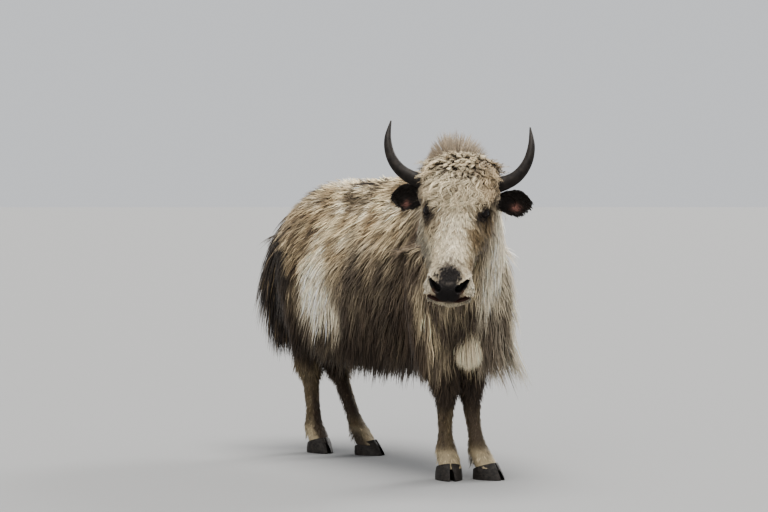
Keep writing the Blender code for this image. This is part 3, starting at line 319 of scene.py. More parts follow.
def leg_rings(leg, count=110, sides=48, bottom=0.03):
    """Level rings of one leg, from inside the trunk down into its hoof."""
    fore = leg.startswith("fore")
    rows = along_rows(FORE_LEG if fore else HIND_LEG, np.linspace(0, 1, count))
    out, back, z, half, depth = rows[rows[:, 2] > bottom].T
    joint, top = np.array(LEG_LEAN[leg])
    joint_z = KNEE_Z if fore else HOCK_Z
    low = np.clip((z - FETLOCK_Z) / (joint_z - FETLOCK_Z), 0, 1)[:, None]
    high = np.clip((z - joint_z) / LEAN_RISE, 0, 1)[:, None]
    lean = np.where(z[:, None] <= joint_z, low * joint, mix(joint, top, high))
    side = math.copysign(1.0, HOOVES[leg][0])
    sloped = PASTERN_SLOPE * np.clip((z - CORONET_Z * 0.6) / (FETLOCK_Z - CORONET_Z * 0.6), 0, 1)
    foot = foot_place(leg, xyz(0.0, sloped, z))
    centre = foot + xyz(side * (out - lean[:, 0]), back + lean[:, 1], 0.0)
    angle = TAU * np.arange(sides)[None] / sides
    return centre[:, None] + xyz(half[:, None] * np.cos(angle), depth[:, None] * np.sin(angle), 0.0)


def round_rings(rows, count, sides, swell=None):
    """Round rings along rows of x, y, z and radius. Swell gives a share added at each ring and angle."""
    shares = np.linspace(0, 1, count)
    rows_at = along_rows(rows, shares)
    ahead = unit((along_rows(rows, shares + 0.03) - along_rows(rows, shares - 0.03))[:, :3])
    across = unit(np.cross(ahead, UP + 0.01))
    other = np.cross(ahead, across)
    angle = TAU * np.arange(sides)[None, :, None] / sides
    radius = rows_at[:, None, 3:4] * (1 + (0 if swell is None else swell(shares[:, None, None], angle)))
    return rows_at[:, None, :3] + (across[:, None] * np.cos(angle) + other[:, None] * np.sin(angle)) * radius


# Head, in its own frame: x to the yak's left, y from the poll to the muzzle, z out of the face

POLL = np.array((-0.196, -0.300, 1.066))
HEAD_TURN, FACE_SLOPE, HEAD_ROLL = math.radians(37.0), math.radians(25.0), math.radians(-3.0)


def head_axes():
    forward = Vector((-math.sin(HEAD_TURN), -math.cos(HEAD_TURN), 0.0))
    up = Vector((0.0, 0.0, 1.0))
    left = up.cross(forward)
    along = forward * math.sin(FACE_SLOPE) - up * math.cos(FACE_SLOPE)
    out = forward * math.cos(FACE_SLOPE) + up * math.sin(FACE_SLOPE)
    return np.array(Matrix.Rotation(HEAD_ROLL, 3, forward) @ Matrix((left, along, out)).transposed())


HEAD_AXES = head_axes()


def from_head(points):
    return POLL + np.asarray(points) @ HEAD_AXES.T


def to_head(points):
    return (np.asarray(points) - POLL) @ HEAD_AXES


HEAD_ROWS = (  # y, half width, face height, throat depth, boxiness
    (-0.022, 0.056, 0.026, 0.062, 0.95),
    (0.000, 0.100, 0.055, 0.105, 0.95),
    (0.045, 0.116, 0.078, 0.118, 0.88),
    (0.095, 0.120, 0.082, 0.124, 0.84),
    (0.145, 0.116, 0.077, 0.122, 0.82),
    (0.195, 0.104, 0.069, 0.108, 0.80),
    (0.245, 0.088, 0.062, 0.088, 0.80),
    (0.295, 0.076, 0.057, 0.070, 0.80),
    (0.345, 0.068, 0.054, 0.058, 0.80),
    (0.390, 0.069, 0.051, 0.053, 0.80),
    (0.430, 0.072, 0.044, 0.051, 0.78),
    (0.456, 0.070, 0.034, 0.047, 0.78),
    (0.472, 0.058, 0.020, 0.043, 0.82),
    (0.479, 0.036, 0.008, 0.034, 0.9),
)
FACE_INSET = 0.0045
SWELLINGS = (  # place on the left side or in the middle, reach, height
    ((0.088, 0.125, 0.064), 0.034, 0.010),  # brow
    ((0.100, 0.165, 0.030), 0.024, -0.010),  # hollow of the eye
    ((0.100, 0.200, -0.005), 0.040, 0.006),  # cheek
    ((0.085, 0.130, -0.080), 0.050, 0.008),  # jaw
    ((0.050, 0.405, 0.030), 0.024, 0.009),  # nostril
    ((0.060, 0.425, -0.006), 0.022, 0.004),  # upper lip
    ((0.000, 0.425, -0.052), 0.030, 0.006),  # chin
    ((0.000, 0.070, 0.085), 0.050, 0.006),  # forehead
    ((0.060, 0.300, 0.030), 0.030, -0.004),  # side of the nose
    ((0.000, 0.330, 0.052), 0.030, 0.003),  # bridge of the nose
)
EYE = np.array((0.0885, 0.180, 0.035))
EYE_RADIUS = 0.0172
EYE_LOOK = unit(np.array((1.0, 0.10, 0.50)))
NOSTRIL = np.array((0.0425, 0.4355, 0.032))
NOSTRIL_IN = unit(np.array((-0.25, -0.75, -0.62)))
NOSTRIL_PARTS = (  # place along the slit and over it, half length, half height, round end first
    (-0.0120, -0.0018, 0.0115, 0.0092),
    (0.0000, 0.0000, 0.0140, 0.0074),
    (0.0135, 0.0014, 0.0130, 0.0048),
)
MOUTH_Z = -0.002


def eye_axes(side):
    """Look, slant and rise of an eye in the head's frame."""
    look = EYE_LOOK * (side, 1, 1)
    slant = np.array((side * -0.30, 1.0, 0.10))
    slant = unit(slant - look * dot(slant, look))
    return look, slant, np.cross(look, slant) * side


def in_eye(points, side):
    """Offsets from the middle of an eye along its slant, its rise and its look."""
    look, slant, rise = eye_axes(side)
    offset = points - EYE * (side, 1, 1)
    return offset @ slant, offset @ rise, offset @ look


def from_eyes(points, ahead):
    """Distance to the nearer one of two places, this far ahead of the middles of the eyes."""
    front = EYE + EYE_LOOK * ahead
    return np.min([np.linalg.norm(points - front * (side, 1, 1), axis=1) for side in (1, -1)], 0)


def nostril_shape(points, side):
    """Measure that is 1 on the edge of the comma-shaped nostril, how near the points are, and the way in."""
    inward = NOSTRIL_IN * (side, 1, 1)
    along = np.array((side * 0.74, -0.67, 0.10))
    along = unit(along - inward * dot(along, inward))
    over = np.cross(inward, along) * side
    offset = points - NOSTRIL * (side, 1, 1)
    a, b, deep = offset @ along, offset @ over, np.abs(offset @ inward)
    measures = [((a - u) / long) ** 2 + ((b - v) / high) ** 2 for u, v, long, high in NOSTRIL_PARTS]
    return np.min(measures, 0), step(0.05, 0.03, deep), inward


def mouth_height(points):
    """Height above the line where the lips meet."""
    turn = np.arctan2(np.abs(points[..., 0]), points[..., 1] - 0.405)
    line = MOUTH_Z + 0.014 * step(0.15, 0.60, turn) - 0.050 * step(0.72, 1.35, turn)
    return points[..., 2] - line, turn


def grid_normals(points):
    down = np.gradient(points, axis=0)
    across = np.roll(points, -1, 1) - np.roll(points, 1, 1)
    normal = unit(np.cross(across, down))
    outward = points - points.mean(1, keepdims=True)
    return normal * np.where(dot(normal, outward).mean() < 0, -1, 1)


def near_nostrils(points, outer, inner):
    """1 where the measure of a nostril is under inner, and 0 where it is over outer."""
    shapes = [nostril_shape(points, side) for side in (1, -1)]
    return np.max([step(outer, inner, measure) * here for measure, here, _ in shapes], 0)


def bare(points):
    """1 on the bare skin of the nose pad, the nostrils' rims and the lips."""
    x, y, z = np.abs(points[..., 0]), points[..., 1], points[..., 2]
    core = step(1.25, 0.70, oval(x, y - 0.440, 0.030, 0.016)) * step(0.0, 0.015, z)
    height, turn = mouth_height(points)
    pad = step(0.434, 0.446, y + 0.12 * x) * step(0.046, 0.034, x) * step(-0.001, 0.004, height)
    lips = bell(height, 0.001, 0.010) * step(0.40, 0.43, y) * step(2.0, 1.6, turn) * 1.2
    return np.clip(np.max((core, pad, near_nostrils(points, 3.0, 2.0), lips), 0), 0, 1)


def swollen(points, outward):
    """The head's points with every swelling raised on them, and every hollow sunk."""
    for place, reach, rise in SWELLINGS:
        for side in (1.0, -1.0) if place[0] else (1.0,):
            gap = np.linalg.norm(points - np.array(place) * (side, 1, 1), axis=-1)
            points = points + outward * (rise * bell(gap, 0, reach))[..., None]
    return points


def head_rings(count=250, sides=230):
    """Rings of the head in its own frame, with lips, nostrils and eye sockets."""
    rows = along_rows(HEAD_ROWS, np.linspace(0, 1, count))
    y, half, face, throat, box = (rows[:, i, None] for i in range(5))
    angle = TAU * np.arange(sides)[None] / sides
    across = signed_power(np.cos(angle), box)
    out = signed_power(np.sin(angle), box)
    inset = FACE_INSET * step(0.44, 0.40, y)
    height = np.where(out > 0, (face - inset) * out, (throat - inset) * out)
    jaw = 1 - 0.30 * np.maximum(-out, 0)
    points = xyz((half - inset) * across * jaw, y, height)
    outward = unit(xyz(points[..., 0] / half, 0.0, height / np.where(out > 0, face, throat)))
    smooth = swollen(points, outward)
    normal = grid_normals(smooth)
    height, turn = mouth_height(smooth)
    x, y, z = np.moveaxis(smooth, -1, 0)
    front = step(0.400, 0.425, y) * step(2.1, 1.7, turn)
    lips = 0.0026 * (bell(height, 0.008, 0.006) + bell(height, -0.008, 0.006))
    lips = lips - 0.0085 * bell(height, 0, 0.0030)
    philtrum = -0.0022 * bell(x, 0, 0.0030) * step(-0.012, 0.0, z) * step(0.446, 0.456, y)
    points = smooth + normal * (lips * front + philtrum)[..., None]
    for side in (1.0, -1.0):
        near, here, inward = nostril_shape(smooth, side)
        pit = step(1.25, 0.75, near) * here
        rim = bell(np.sqrt(near), 1.45, 0.32) * here
        points = points + inward * (pit * 0.017)[..., None] + normal * (rim * 0.0026)[..., None]
        a, b, deep = in_eye(smooth, side)
        socket = step(1.25, 0.85, oval(a, b, 0.021, 0.0135)) * step(-0.02, 0.0, deep)
        points = points - eye_axes(side)[0] * (socket * 0.016)[..., None]
    return points


LID_ROWS = (  # share from the lid's edge on the eye out to the face, height over the eye or face, in metres
    (0.00, 0.0004, 0.0),
    (0.00, 0.0016, 0.0),
    (0.06, 0.0024, 0.0),
    (0.16, 0.0026, 0.0),
    (0.30, 0.0022, 0.1),
    (0.42, 0.0012, 0.35),
    (0.52, 0.0020, 0.6),
    (0.70, 0.0016, 0.85),
    (0.86, 0.0004, 1.0),
    (1.00, -0.0020, 1.0),
)


def lid_mesh(side, face_tree, around=72):
    """Lids of one eye, as a rim that starts on the eye and runs out into the face."""
    look, slant, rise = eye_axes(side)
    angle = TAU * np.arange(around) / around
    cos, sin = np.cos(angle), np.sin(angle)
    inner = xyz(0.0165 * signed_power(cos, 0.85), 0.0082 * signed_power(sin, 1.25) + 0.0008 * cos)
    outer = xyz(0.030 * cos, 0.0235 * sin + 0.001)
    rings = []
    for share, lift, onto in along_rows(LID_ROWS, np.linspace(0, 1, 22)):
        ring = []
        for a, b in mix(inner, outer, max(share, 0.0)):
            bulge = math.sqrt(max((EYE_RADIUS + lift) ** 2 - a * a - b * b, 0.0))
            on_eye = bulge if a * a + b * b < EYE_RADIUS**2 else 0.0
            origin = EYE * (side, 1, 1) + slant * a + rise * b
            hit = face_tree.ray_cast(Vector(origin + look * 0.06), Vector(-look))[0]
            on_face = dot(np.array(hit) - origin, look) + lift if hit else lift
            ring.append(origin + look * mix(on_eye, on_face, min(max(onto, 0.0), 1.0)))
        rings.append(ring)
    rings = np.array(rings)
    sunk = look * 0.004
    return np.concatenate((rings[:1] - sunk, rings, rings[-1:] - sunk))


def sheet_faces(rings, sides):
    """Triangles of a tube closed on itself both ways."""
    i, j = np.meshgrid(np.arange(rings), np.arange(sides), indexing="ij")
    a = (i * sides + j).ravel()
    b = (i * sides + (j + 1) % sides).ravel()
    c = (((i + 1) % rings) * sides + (j + 1) % sides).ravel()
    d = (((i + 1) % rings) * sides + j).ravel()
    return np.concatenate((np.stack((a, b, c), 1), np.stack((a, c, d), 1)))


# Ears, horns, eyes and hooves

EAR = (  # along the ear, radius across, half angle the cup wraps, thickness, how far it is opened
    (-0.030, 0.014, 1.57, 0.014, 0.0),
    (0.000, 0.018, 1.57, 0.015, 0.0),
    (0.022, 0.029, 1.50, 0.010, 0.8),
    (0.050, 0.040, 1.42, 0.008, 1.0),
    (0.078, 0.043, 1.25, 0.007, 1.0),
    (0.102, 0.032, 1.05, 0.006, 1.0),
    (0.122, 0.010, 0.90, 0.004, 1.0),
)
EAR_ROOT = np.array((0.112, 0.100, -0.036))
EAR_DROOP = {"right": -0.06, "left": -0.04}
EAR_THIN = 0.6  # share of its thickness that the ear's hair leaves to the skin


def ear_axes(name):
    along = unit(np.array((1.0, EAR_DROOP[name], -0.20)))
    opening = np.array((0.10, 0.55, 1.0))
    opening = unit(opening - along * dot(opening, along))
    return along, opening, np.cross(along, opening)


def ear_rings(name, count=46, arc=25):
    """Rings of the ear in the plan frame, the outer arc and then the inner one."""
    along, opening, upward = ear_axes(name)
    rows = along_rows(EAR, np.linspace(0, 1, count))
    reach, radius, wrap, thick, opened = (rows[:, i, None, None] for i in range(5))
    opened = np.clip(opened, 0, 1)
    angle = wrap * np.linspace(-1, 1, arc)[None, :, None]
    middle = EAR_ROOT + along * reach + opening * radius * 0.45 * np.clip(reach / 0.05, 0, 1)
    outer = middle + (upward * np.sin(angle) - opening * np.cos(angle)) * radius
    far = upward * np.sin(angle * 0.8) + opening * np.cos(angle * 0.8)
    near = upward * np.sin(angle * 0.9) - opening * np.cos(angle * 0.9)
    inner = middle + far * radius * (1 - opened) + near * (radius - thick * EAR_THIN) * opened
    rings = np.concatenate((outer, inner[:, ::-1]), 1)
    return from_head(rings * (SIDES[name], 1, 1))


HORN_LEAN = {"right": 0.016, "left": -0.020}
HORN = (  # the left horn in the head's frame: x, y, z, radius
    (0.062, 0.072, -0.004, 0.0265),
    (0.125, 0.064, 0.004, 0.0245),
    (0.186, 0.040, 0.020, 0.0205),
    (0.224, -0.006, 0.034, 0.0165),
    (0.238, -0.066, 0.042, 0.0115),
    (0.232, -0.134, 0.040, 0.0022),
)


def horn_rings(name):
    """Rings of a horn in the plan frame, faintly ridged towards its root."""
    rows = np.array(HORN)
    shares = np.linspace(0, 1, len(rows))
    rows[:, 0] = SIDES[name] * (rows[:, 0] + HORN_LEAN[name] * shares)
    places = from_head(rows[:, :3])
    rows = np.concatenate((places, rows[:, 3:]), 1)

    def swell(share, angle):
        ridges = 0.020 * np.sin(share * 95 + 0.5 * np.sin(angle + share * 6)) * step(0.52, 0.10, share)
        return ridges + 0.012 * np.sin(angle * 5 + share * 9) * step(0.9, 0.3, share)

    return round_rings(rows, 90, 40, swell)


CLEFT = 0.0022
CLAW_RINGS = (  # height share, toe reach, heel reach, half width of both claws
    (0.000, 0.0755, 0.039, 0.0455),
    (0.060, 0.0770, 0.040, 0.0465),
    (0.300, 0.0680, 0.041, 0.0465),
    (0.600, 0.0560, 0.041, 0.0455),
    (0.900, 0.0440, 0.042, 0.0435),
    (1.000, 0.0400, 0.042, 0.0420),
)


def claw_rings(leg, side, count=30, arc=34):
    """Rings of one claw, from the floor up to the coronet."""
    shares = np.linspace(0, 1, count)
    rows = along_rows(CLAW_RINGS, shares)
    rings = []
    for share, toe, heel, half in rows:
        share = min(max(share, 0.0), 1.0)
        angle = np.linspace(-math.pi / 2, math.pi / 2, arc)
        wide = half * np.maximum(np.cos(angle), 0) ** 0.7
        y = -np.sin(angle) * np.where(angle > 0, toe, heel)
        inner_y = -toe + (toe + heel) * np.array((0.12, 0.30, 0.5, 0.70, 0.9))
        wide = np.concatenate((wide * (1 - 0.35 * np.maximum(-y / toe, 0) ** 2), np.zeros(5)))
        y = np.concatenate((y, inner_y))
        split = CLEFT + 0.006 * np.maximum(-y / toe, 0) ** 2 * (1 - share)
        growth = 1 + 0.006 * np.sin(share * 40)
        height = share * (CORONET_Z - CORONET_SLOPE * y - 0.0003)
        rings.append(np.stack((side * np.maximum(wide * growth, split + 0.0005), y, height), -1))
    return foot_place(leg, np.array(rings))


# One skin over the whole body

SKIN_VOXEL = 0.0075
SKIN_SMOOTHING = 14


def body_skin():
    """Fused and smoothed body without the head, set in under the coat."""
    parts = [tube_mesh(trunk_rings()), tube_mesh(neck_rings())]
    parts += [tube_mesh(leg_rings(leg)) for leg in HOOVES]
    parts.append(tube_mesh(round_rings(DOCK, 40, 24)))
    body = mesh_object("body", *together(parts))
    remesh = body.modifiers.new("remesh", "REMESH")
    remesh.mode = "VOXEL"
    remesh.voxel_size = SKIN_VOXEL
    smooth = body.modifiers.new("smooth", "SMOOTH")
    smooth.factor = 0.5
    smooth.iterations = SKIN_SMOOTHING
    applied(body)
    points, normals, triangles = read(body)
    bpy.data.objects.remove(body)
    z = points[:, 2]
    inset = 0.003 + 0.005 * step(0.080, 0.130, z) + 0.001 * step(0.30, 0.55, z)
    inset = inset - 0.006 * step(0.95, 1.02, z)
    return points - normals * inset[:, None], triangles


class Skin:
    """Points, normals and triangles to grow hair on."""

    def __init__(self, points, triangles):
        self.points = points
        self.triangles = triangles
        corners = points[triangles]
        cross = np.cross(corners[:, 1] - corners[:, 0], corners[:, 2] - corners[:, 0])
        self.areas = np.linalg.norm(cross, axis=1) / 2
        normals = np.zeros_like(points)
        for k in range(3):
            np.add.at(normals, triangles[:, k], cross)
        self.normals = unit(normals)
        self.centres = corners.mean(1)
        self.face_normals = unit(cross)
        self.tree = BVHTree.FromPolygons(points.tolist(), triangles.tolist())

    def scatter(self, count, weight, draw):
        """Random points and their normals, spread by a weight of each triangle."""
        chance = np.cumsum(self.areas * weight)
        chosen = np.searchsorted(chance, draw.random(count) * chance[-1])
        chosen = np.minimum(chosen, len(self.triangles) - 1)
        u, v = draw.random((2, count))
        fold = u + v > 1
        u, v = np.where(fold, 1 - u, u), np.where(fold, 1 - v, v)
        shares = np.stack((1 - u - v, u, v), 1)[..., None]
        corners = self.triangles[chosen]
        return (self.points[corners] * shares).sum(1), unit((self.normals[corners] * shares).sum(1))


# Tufts of hair

WIDE = (0.55, 1.0, 1.0, 0.9, 0.72, 0.50, 0.30, 0.2)  # widths along a tuft, from its root to its tip
THICK = 0.45  # a tuft's thickness over its width
SOFT = 0.55  # how far a tuft is shaded like the skin under it
BAKE_HALF_WIDE, BAKE_LONG = 0.0015, 0.003  # a tuft's patch on the unwrap
OVER_FLOOR = 0.002

# Steps along a guide, distance between guides, how far tufts spread about their guide, how uneven their
# lengths are, how deep their roots are sunk, and their painted shades from root to tip, the painted shade
# that darkens each tuft towards its root
Growth = namedtuple(
    "Growth",
    "steps spacing spread ragged sunk shades",
    defaults=(0.25, 0.003, (0.38, 0.82, 1.0, 1.12)),
)


def drape(tree, start, normal, heading, length, lift, fall, steps):
    """One guide: points and normals from the root along the skin and down."""
    place = Vector(start)
    out = Vector(normal)
    heading = Vector(heading)
    down = Vector((0.0, 0.0, -1.0))
    points, normals = [place.copy()], [out.copy()]
    for k in range(1, steps + 1):
        share = k / steps
        heading = (heading * (1 - fall) + down * fall).normalized()
        place = place + heading * (length / steps)
        near, face, _, _ = tree.find_nearest(place)
        height = (place - near).dot(face)
        wanted = lift * share**0.6
        if height < wanted:
            moved = near + face * wanted
            heading = (moved - points[-1]).normalized()
            place = points[-1] + heading * (length / steps)
            out = face
        points.append(place.copy())
        normals.append(out.copy())
    return points, normals


def guides_for(skin, roots, normals, growth, style, draw):
    """Well spaced guides among the roots, draped over the skin."""
    cells = np.floor(roots / growth.spacing).astype(int)
    chosen = np.sort(np.unique(cells, axis=0, return_index=True)[1])
    places, outs = roots[chosen], normals[chosen]
    made = style(places, outs, draw)
    against = dot(made["flow"], outs)
    hanging = step(0.0, -0.5, outs[:, 2]) * (against > 0)
    flow = made["flow"] - outs * (against * (1 - hanging))[:, None]
    flow = unit(unit(flow) + outs * (made["rise"] * (1 - hanging))[:, None])
    paths = np.empty((len(chosen), growth.steps + 1, 3))
    faces = np.empty_like(paths)
    for i in range(len(chosen)):
        values = (made["length"][i], made["lift"][i], made["fall"][i], growth.steps)
        paths[i], faces[i] = drape(skin.tree, places[i], outs[i], flow[i], *values)
    return places, paths, faces, made


def grown(skin, roots, normals, growth, style, draw):
    """Paths and normals of every tuft, each led by its nearest guide, and what the guides are made with."""
    places, paths, faces, made = guides_for(skin, roots, normals, growth, style, draw)
    finder = KDTree(len(places))
    for i, place in enumerate(places):
        finder.insert(place, i)
    finder.balance()
    own = np.array([finder.find(root)[1] for root in roots])
    led = {kind: values[own][:, None, None] for kind, values in made.items() if kind != "flow"}
    count = len(roots)
    share = np.linspace(0, 1, growth.steps + 1)[None, :, None]
    guide, out = paths[own], faces[own]
    longer = (1 + growth.ragged * draw.uniform(-1, 0.6, count))[:, None, None]
    offset = (guide - guide[:, :1]) * longer
    side = unit(np.cross(unit(np.gradient(guide, axis=1)), out))
    lean = draw.normal(size=(count, 1, 1)) * growth.spread * 0.30
    raised = draw.random((count, 1, 1)) ** 1.5 * led["body"]
    raised = out * raised * share**0.7
    path = roots[:, None] + offset + side * lean * led["length"] * share**1.3 + raised
    middle = guide[:, :1] + offset + raised * 0.7
    path = path + (middle - path) * (led["clump"] * share**1.4)
    phase = draw.uniform(0, TAU, len(places))[own][:, None, None]
    phase = led.get("phase", phase) + draw.normal(size=(count, 1, 1)) * 0.4
    wave = TAU * led["curls"] * share + phase
    bend = led["curl"] * np.clip(share * 2.5, 0, 1)
    path = path + side * np.sin(wave) * bend + out * (0.7 + np.cos(wave)) * bend * 0.45
    path[:, 0] -= out[:, 0] * growth.sunk
    return path, out, own, made

def tuft_arrays(path, out, width):
    """Points and triangles of flat three-sided tufts, and how far along and across each point is."""
    count, levels = path.shape[:2]
    steps = levels - 1
    ahead = unit(np.gradient(path, axis=1))
    side = unit(np.cross(ahead, out))
    up = np.cross(side, ahead)
    wide = np.interp(np.linspace(0, 1, levels), np.linspace(0, 1, len(WIDE)), WIDE)
    half = (width[:, None] * wide[None, :] / 2)[..., None]
    aside, over = side * half, up * half * THICK
    ring = np.stack((path - aside - over, path + aside - over, path + over), 2)
    points = np.concatenate((ring[:, :steps].reshape(count, -1, 3), path[:, -1:]), 1)
    faces = [(0, 1, 2)]
    for k in range(steps - 1):
        for i in range(3):
            a, b = 3 * k + i, 3 * k + (i + 1) % 3
            faces += [(a, b + 3, b), (a, a + 3, b + 3)]
    last = 3 * (steps - 1)
    faces += [(last + i, 3 * steps, last + (i + 1) % 3) for i in range(3)]
    faces = (np.array(faces)[None] + np.arange(count)[:, None, None] * points.shape[1]).reshape(-1, 3)
    along = np.append(np.repeat(np.arange(steps) / steps, 3), 1.0)
    across = np.append(np.tile((-1.0, 1.0, 0.0), steps), 0.0)
    return points, faces, along, across


def colour_layer(data, colours):
    layer = data.color_attributes.new("coat", "FLOAT_COLOR", "POINT")
    values = np.concatenate((np.clip(colours, 0, 1), np.ones((len(colours), 1))), 1)
    layer.data.foreach_set("color", values.astype(np.float32).ravel())


def bake_map(data, place, along, across):
    """UV map for the bake: a small patch for each tuft, at its root's place on the unwrap."""
    u = place[:, 0, None] + across[None] * BAKE_HALF_WIDE
    v = place[:, 1, None] + along[None] * BAKE_LONG
    corners = np.empty(len(data.loops), np.int32)
    data.loops.foreach_get("vertex_index", corners)
    layer = data.uv_layers.new(name="OFBake")
    layer.data.foreach_set("uv", np.stack((u, v), -1).reshape(-1, 2)[corners].astype(np.float32).ravel())


def placed(name, slot, points, faces, material, *nodes):
    """Piece that rides on the body, and that stands for these nodes."""
    piece = mesh_object(name, points + PLAN_TO_ROW, faces)
    piece.data.materials.append(material)
    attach(piece, "root")
    if nodes:
        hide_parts(*nodes)
    return piece


def coat(name, slot, skin, count, weight, growth, style, hair, unwrap, seed):
    """One piece of coat, as one joined mesh that rides on the body."""
    draw = np.random.default_rng(seed)
    roots, normals = skin.scatter(count, weight, draw)
    path, out, own, made = grown(skin, roots, normals, growth, style, draw)
    width = made["width"][own] * draw.uniform(0.75, 1.2, count)
    points, faces, along, across = tuft_arrays(path, out, width)
    base = hair(roots, draw, own)
    # painted shade: each tuft is darker towards its root
    shade = np.interp(along, (0, 0.35, 0.8, 1), growth.shades)
    points[..., 2] = np.maximum(points[..., 2], OVER_FLOOR)
    piece = placed(name, slot, points.reshape(-1, 3), faces, FUR)
    radial = unit(points - np.repeat(path, 3, 1)[:, : points.shape[1]])
    radial[:, -1] = out[:, -1]
    level = np.append(np.repeat(np.arange(growth.steps), 3), growth.steps)
    soft = unit(radial * (1 - SOFT) + out[:, level] * SOFT).reshape(-1, 3)
    piece.data.normals_split_custom_set_from_vertices(soft.tolist())
    colour_layer(piece.data, (base[:, None] * shade[None, :, None]).reshape(-1, 3))
    bake_map(piece.data, unwrap(roots), along, across)


# Markings

WHITE = np.array((0.88, 0.78, 0.60))
CREAM = np.array((0.69, 0.57, 0.375))
TAN = np.array((0.40, 0.295, 0.170))
DIRT = np.array((0.170, 0.115, 0.062))
GREY_BROWN = np.array((0.200, 0.160, 0.120))
BROWN = np.array((0.092, 0.064, 0.043))
DARK = np.array((0.034, 0.025, 0.019))
BLACK = np.array((0.013, 0.010, 0.009))
NOSE = np.array((0.018, 0.014, 0.013))
NOSE_GREY = np.array((0.120, 0.100, 0.085))
LIP = np.array((0.045, 0.017, 0.012))
RUST = np.array((0.120, 0.060, 0.034))
PINK = np.array((0.34, 0.170, 0.135))
EYE_BASE = np.array((0.030, 0.022, 0.018))
IRIS = np.array((0.016, 0.009, 0.006))
PUPIL = np.array((0.004, 0.004, 0.005))


def blend(base, colour, share):
    return base + (colour - base) * np.clip(share, 0, 1)[..., None]


def layered(colour, *layers):
    """Colour with others laid over it in turn, each by its share."""
    for tone, share in layers:
        colour = blend(colour, tone, share)
    return colour


NECK_X, NECK_Y = np.array(NECK)[::-1, :2].T


def body_marking(points):
    """Colour of the coat over trunk, neck, legs and tail."""
    x, y, z = points.T
    broad = ripple(points, 0.11, 1)
    fine = ripple(points * (1, 1, 0.6), 0.030, 2)
    speck = ripple(points * (1, 0.7, 1), 0.014, 3)
    pale = ripple(points, 0.050, 4)
    trunk = step(0.02, 0.12, y)
    upper = step(0.66, 0.86, z)
    # lower sides: grey-brown hair, darkened further with painted shade
    low_side = step(0.88, 0.70, z + 0.04 * broad) * trunk
    low_side = low_side * step(0.64, 0.50, y + 0.25 * (z - 0.60) + 0.02 * fine)
    # dark patch behind the foreleg: grey-brown hair and painted shade
    shaded = bell(y, 0.24, 0.26) * bell(z, 0.58, 0.17) * step(0.05, 0.12, y)
    across = (y - 0.665 - 0.12 * (z - 0.56)) / (0.130 - 0.25 * np.maximum(z - 0.62, 0))
    patch = np.exp(-across**4) * step(0.55, 0.60, z + 0.02 * fine) * step(0.82, 0.71, z + 0.02 * fine)
    flank = step(0.74, 0.81, y + 0.015 * fine) * step(0.62, 0.72, z) * step(1.00, 0.90, z)
    rear = step(0.88, 0.96, y + 0.03 * broad + 0.02 * fine - 0.16 * step(0.74, 0.90, z))
    # belly: dark grey-brown hair, with painted shade under the body
    belly = step(0.60, 0.53, z + 0.03 * fine - 0.10 * step(0.72, 0.82, y)) * step(0.24, 0.40, y)
    left_side = step(0.07, 0.12, x) * step(0.42, 0.28, y) * step(0.96, 0.88, z)
    stripe = bell(x, -0.03, 0.080 + 0.014 * broad) * step(0.90, 0.94, z)
    pieces = 1.1 * step(0.44, 0.50, y) * step(0.72, 0.66, y) * step(-0.5, 0.5, fine + broad)
    pieces = pieces + step(0.88, 0.95, y)
    # underside of the trunk: darker hair, with painted shade
    under = step(0.47, 0.38, z) * trunk * step(0.66, 0.55, y)
    front = step(0.12, 0.02, y)
    # painted shadow in the crease between neck and shoulder
    crease_shadow = bell(y, 0.09, 0.06) * step(-0.08, -0.14, x) * step(1.0, 0.9, z)
    bib = bell(x, -0.095, 0.055) * step(0.02, -0.08, y) * step(0.76, 0.64, z)
    lit = step(0.02, 0.07, x - np.interp(y, NECK_Y, NECK_X)) * front * (1 - 0.8 * step(0.94, 1.0, z))
    shade = step(0.72, 0.60, z) * step(0.070, 0.035, x + 0.015 * fine)
    hump = step(0.97, 1.04, z) * step(0.30, 0.20, y)
    colour = layered(
        np.tile(CREAM, (len(points), 1)),
        (TAN, (0.24 + 0.45 * broad + 0.18 * fine) * step(0.60, 0.82, z) * trunk),
        (WHITE, step(0.3, 1.2, pale) * 0.7 * upper * trunk),
        (DIRT, step(0.35, 1.2, fine + 0.5 * broad) * 0.72 * upper * trunk),
        (BROWN, step(0.75, 1.20, speck) * 0.85 * upper * trunk),
        (GREY_BROWN * 0.72, (0.92 + 0.25 * fine) * low_side),
        (mix(BROWN, DARK, 0.5), shaded * (1.0 + 0.2 * fine)),
        (TAN * 0.72, flank * (0.80 + 0.3 * fine)),
        (BROWN, flank * step(0.0, 0.8, fine + 0.7 * broad) * 0.75),
        (DARK * 0.8, rear * step(0.99, 0.90, z) * 0.97),
        (mix(BROWN, DARK, 0.55), belly * 0.92),
        (WHITE * 1.25, 1.3 * patch * step(0.06, 0.12, np.abs(x))),
        (WHITE, left_side * (0.80 - 0.35 * broad)),
        (DARK, stripe * pieces * 0.95),
        (mix(TAN, BROWN, 0.70), under * 0.75),
        (GREY_BROWN, front * (0.62 + 0.45 * fine) * step(0.02, -0.07, x) * step(1.06, 0.94, z)),
        (BROWN, front * step(0.3, 1.1, fine + 0.5 * broad) * 0.5 * step(0.0, -0.08, x)),
        (BROWN, crease_shadow * 0.95),
        (mix(BROWN, DARK, 0.7), bib * 0.97),
        (WHITE, lit * (0.80 + 0.15 * fine)),
        (GREY_BROWN, lit * step(0.4, 1.1, broad + 0.5 * fine) * 0.5),
        (mix(GREY_BROWN, BROWN, 0.4), lit * shade * 0.9),
        (mix(GREY_BROWN, TAN, 0.35) * 0.54, hump * 0.97),
    )
    return leg_marking(colour, points)


def leg_middle(leg, z):
    """Middle of a leg at these heights, in x and y."""
    centres = leg_rings(leg, sides=4, bottom=0.0).mean(1)[::-1]
    return np.interp(z, centres[:, 2], centres[:, 0]), np.interp(z, centres[:, 2], centres[:, 1])


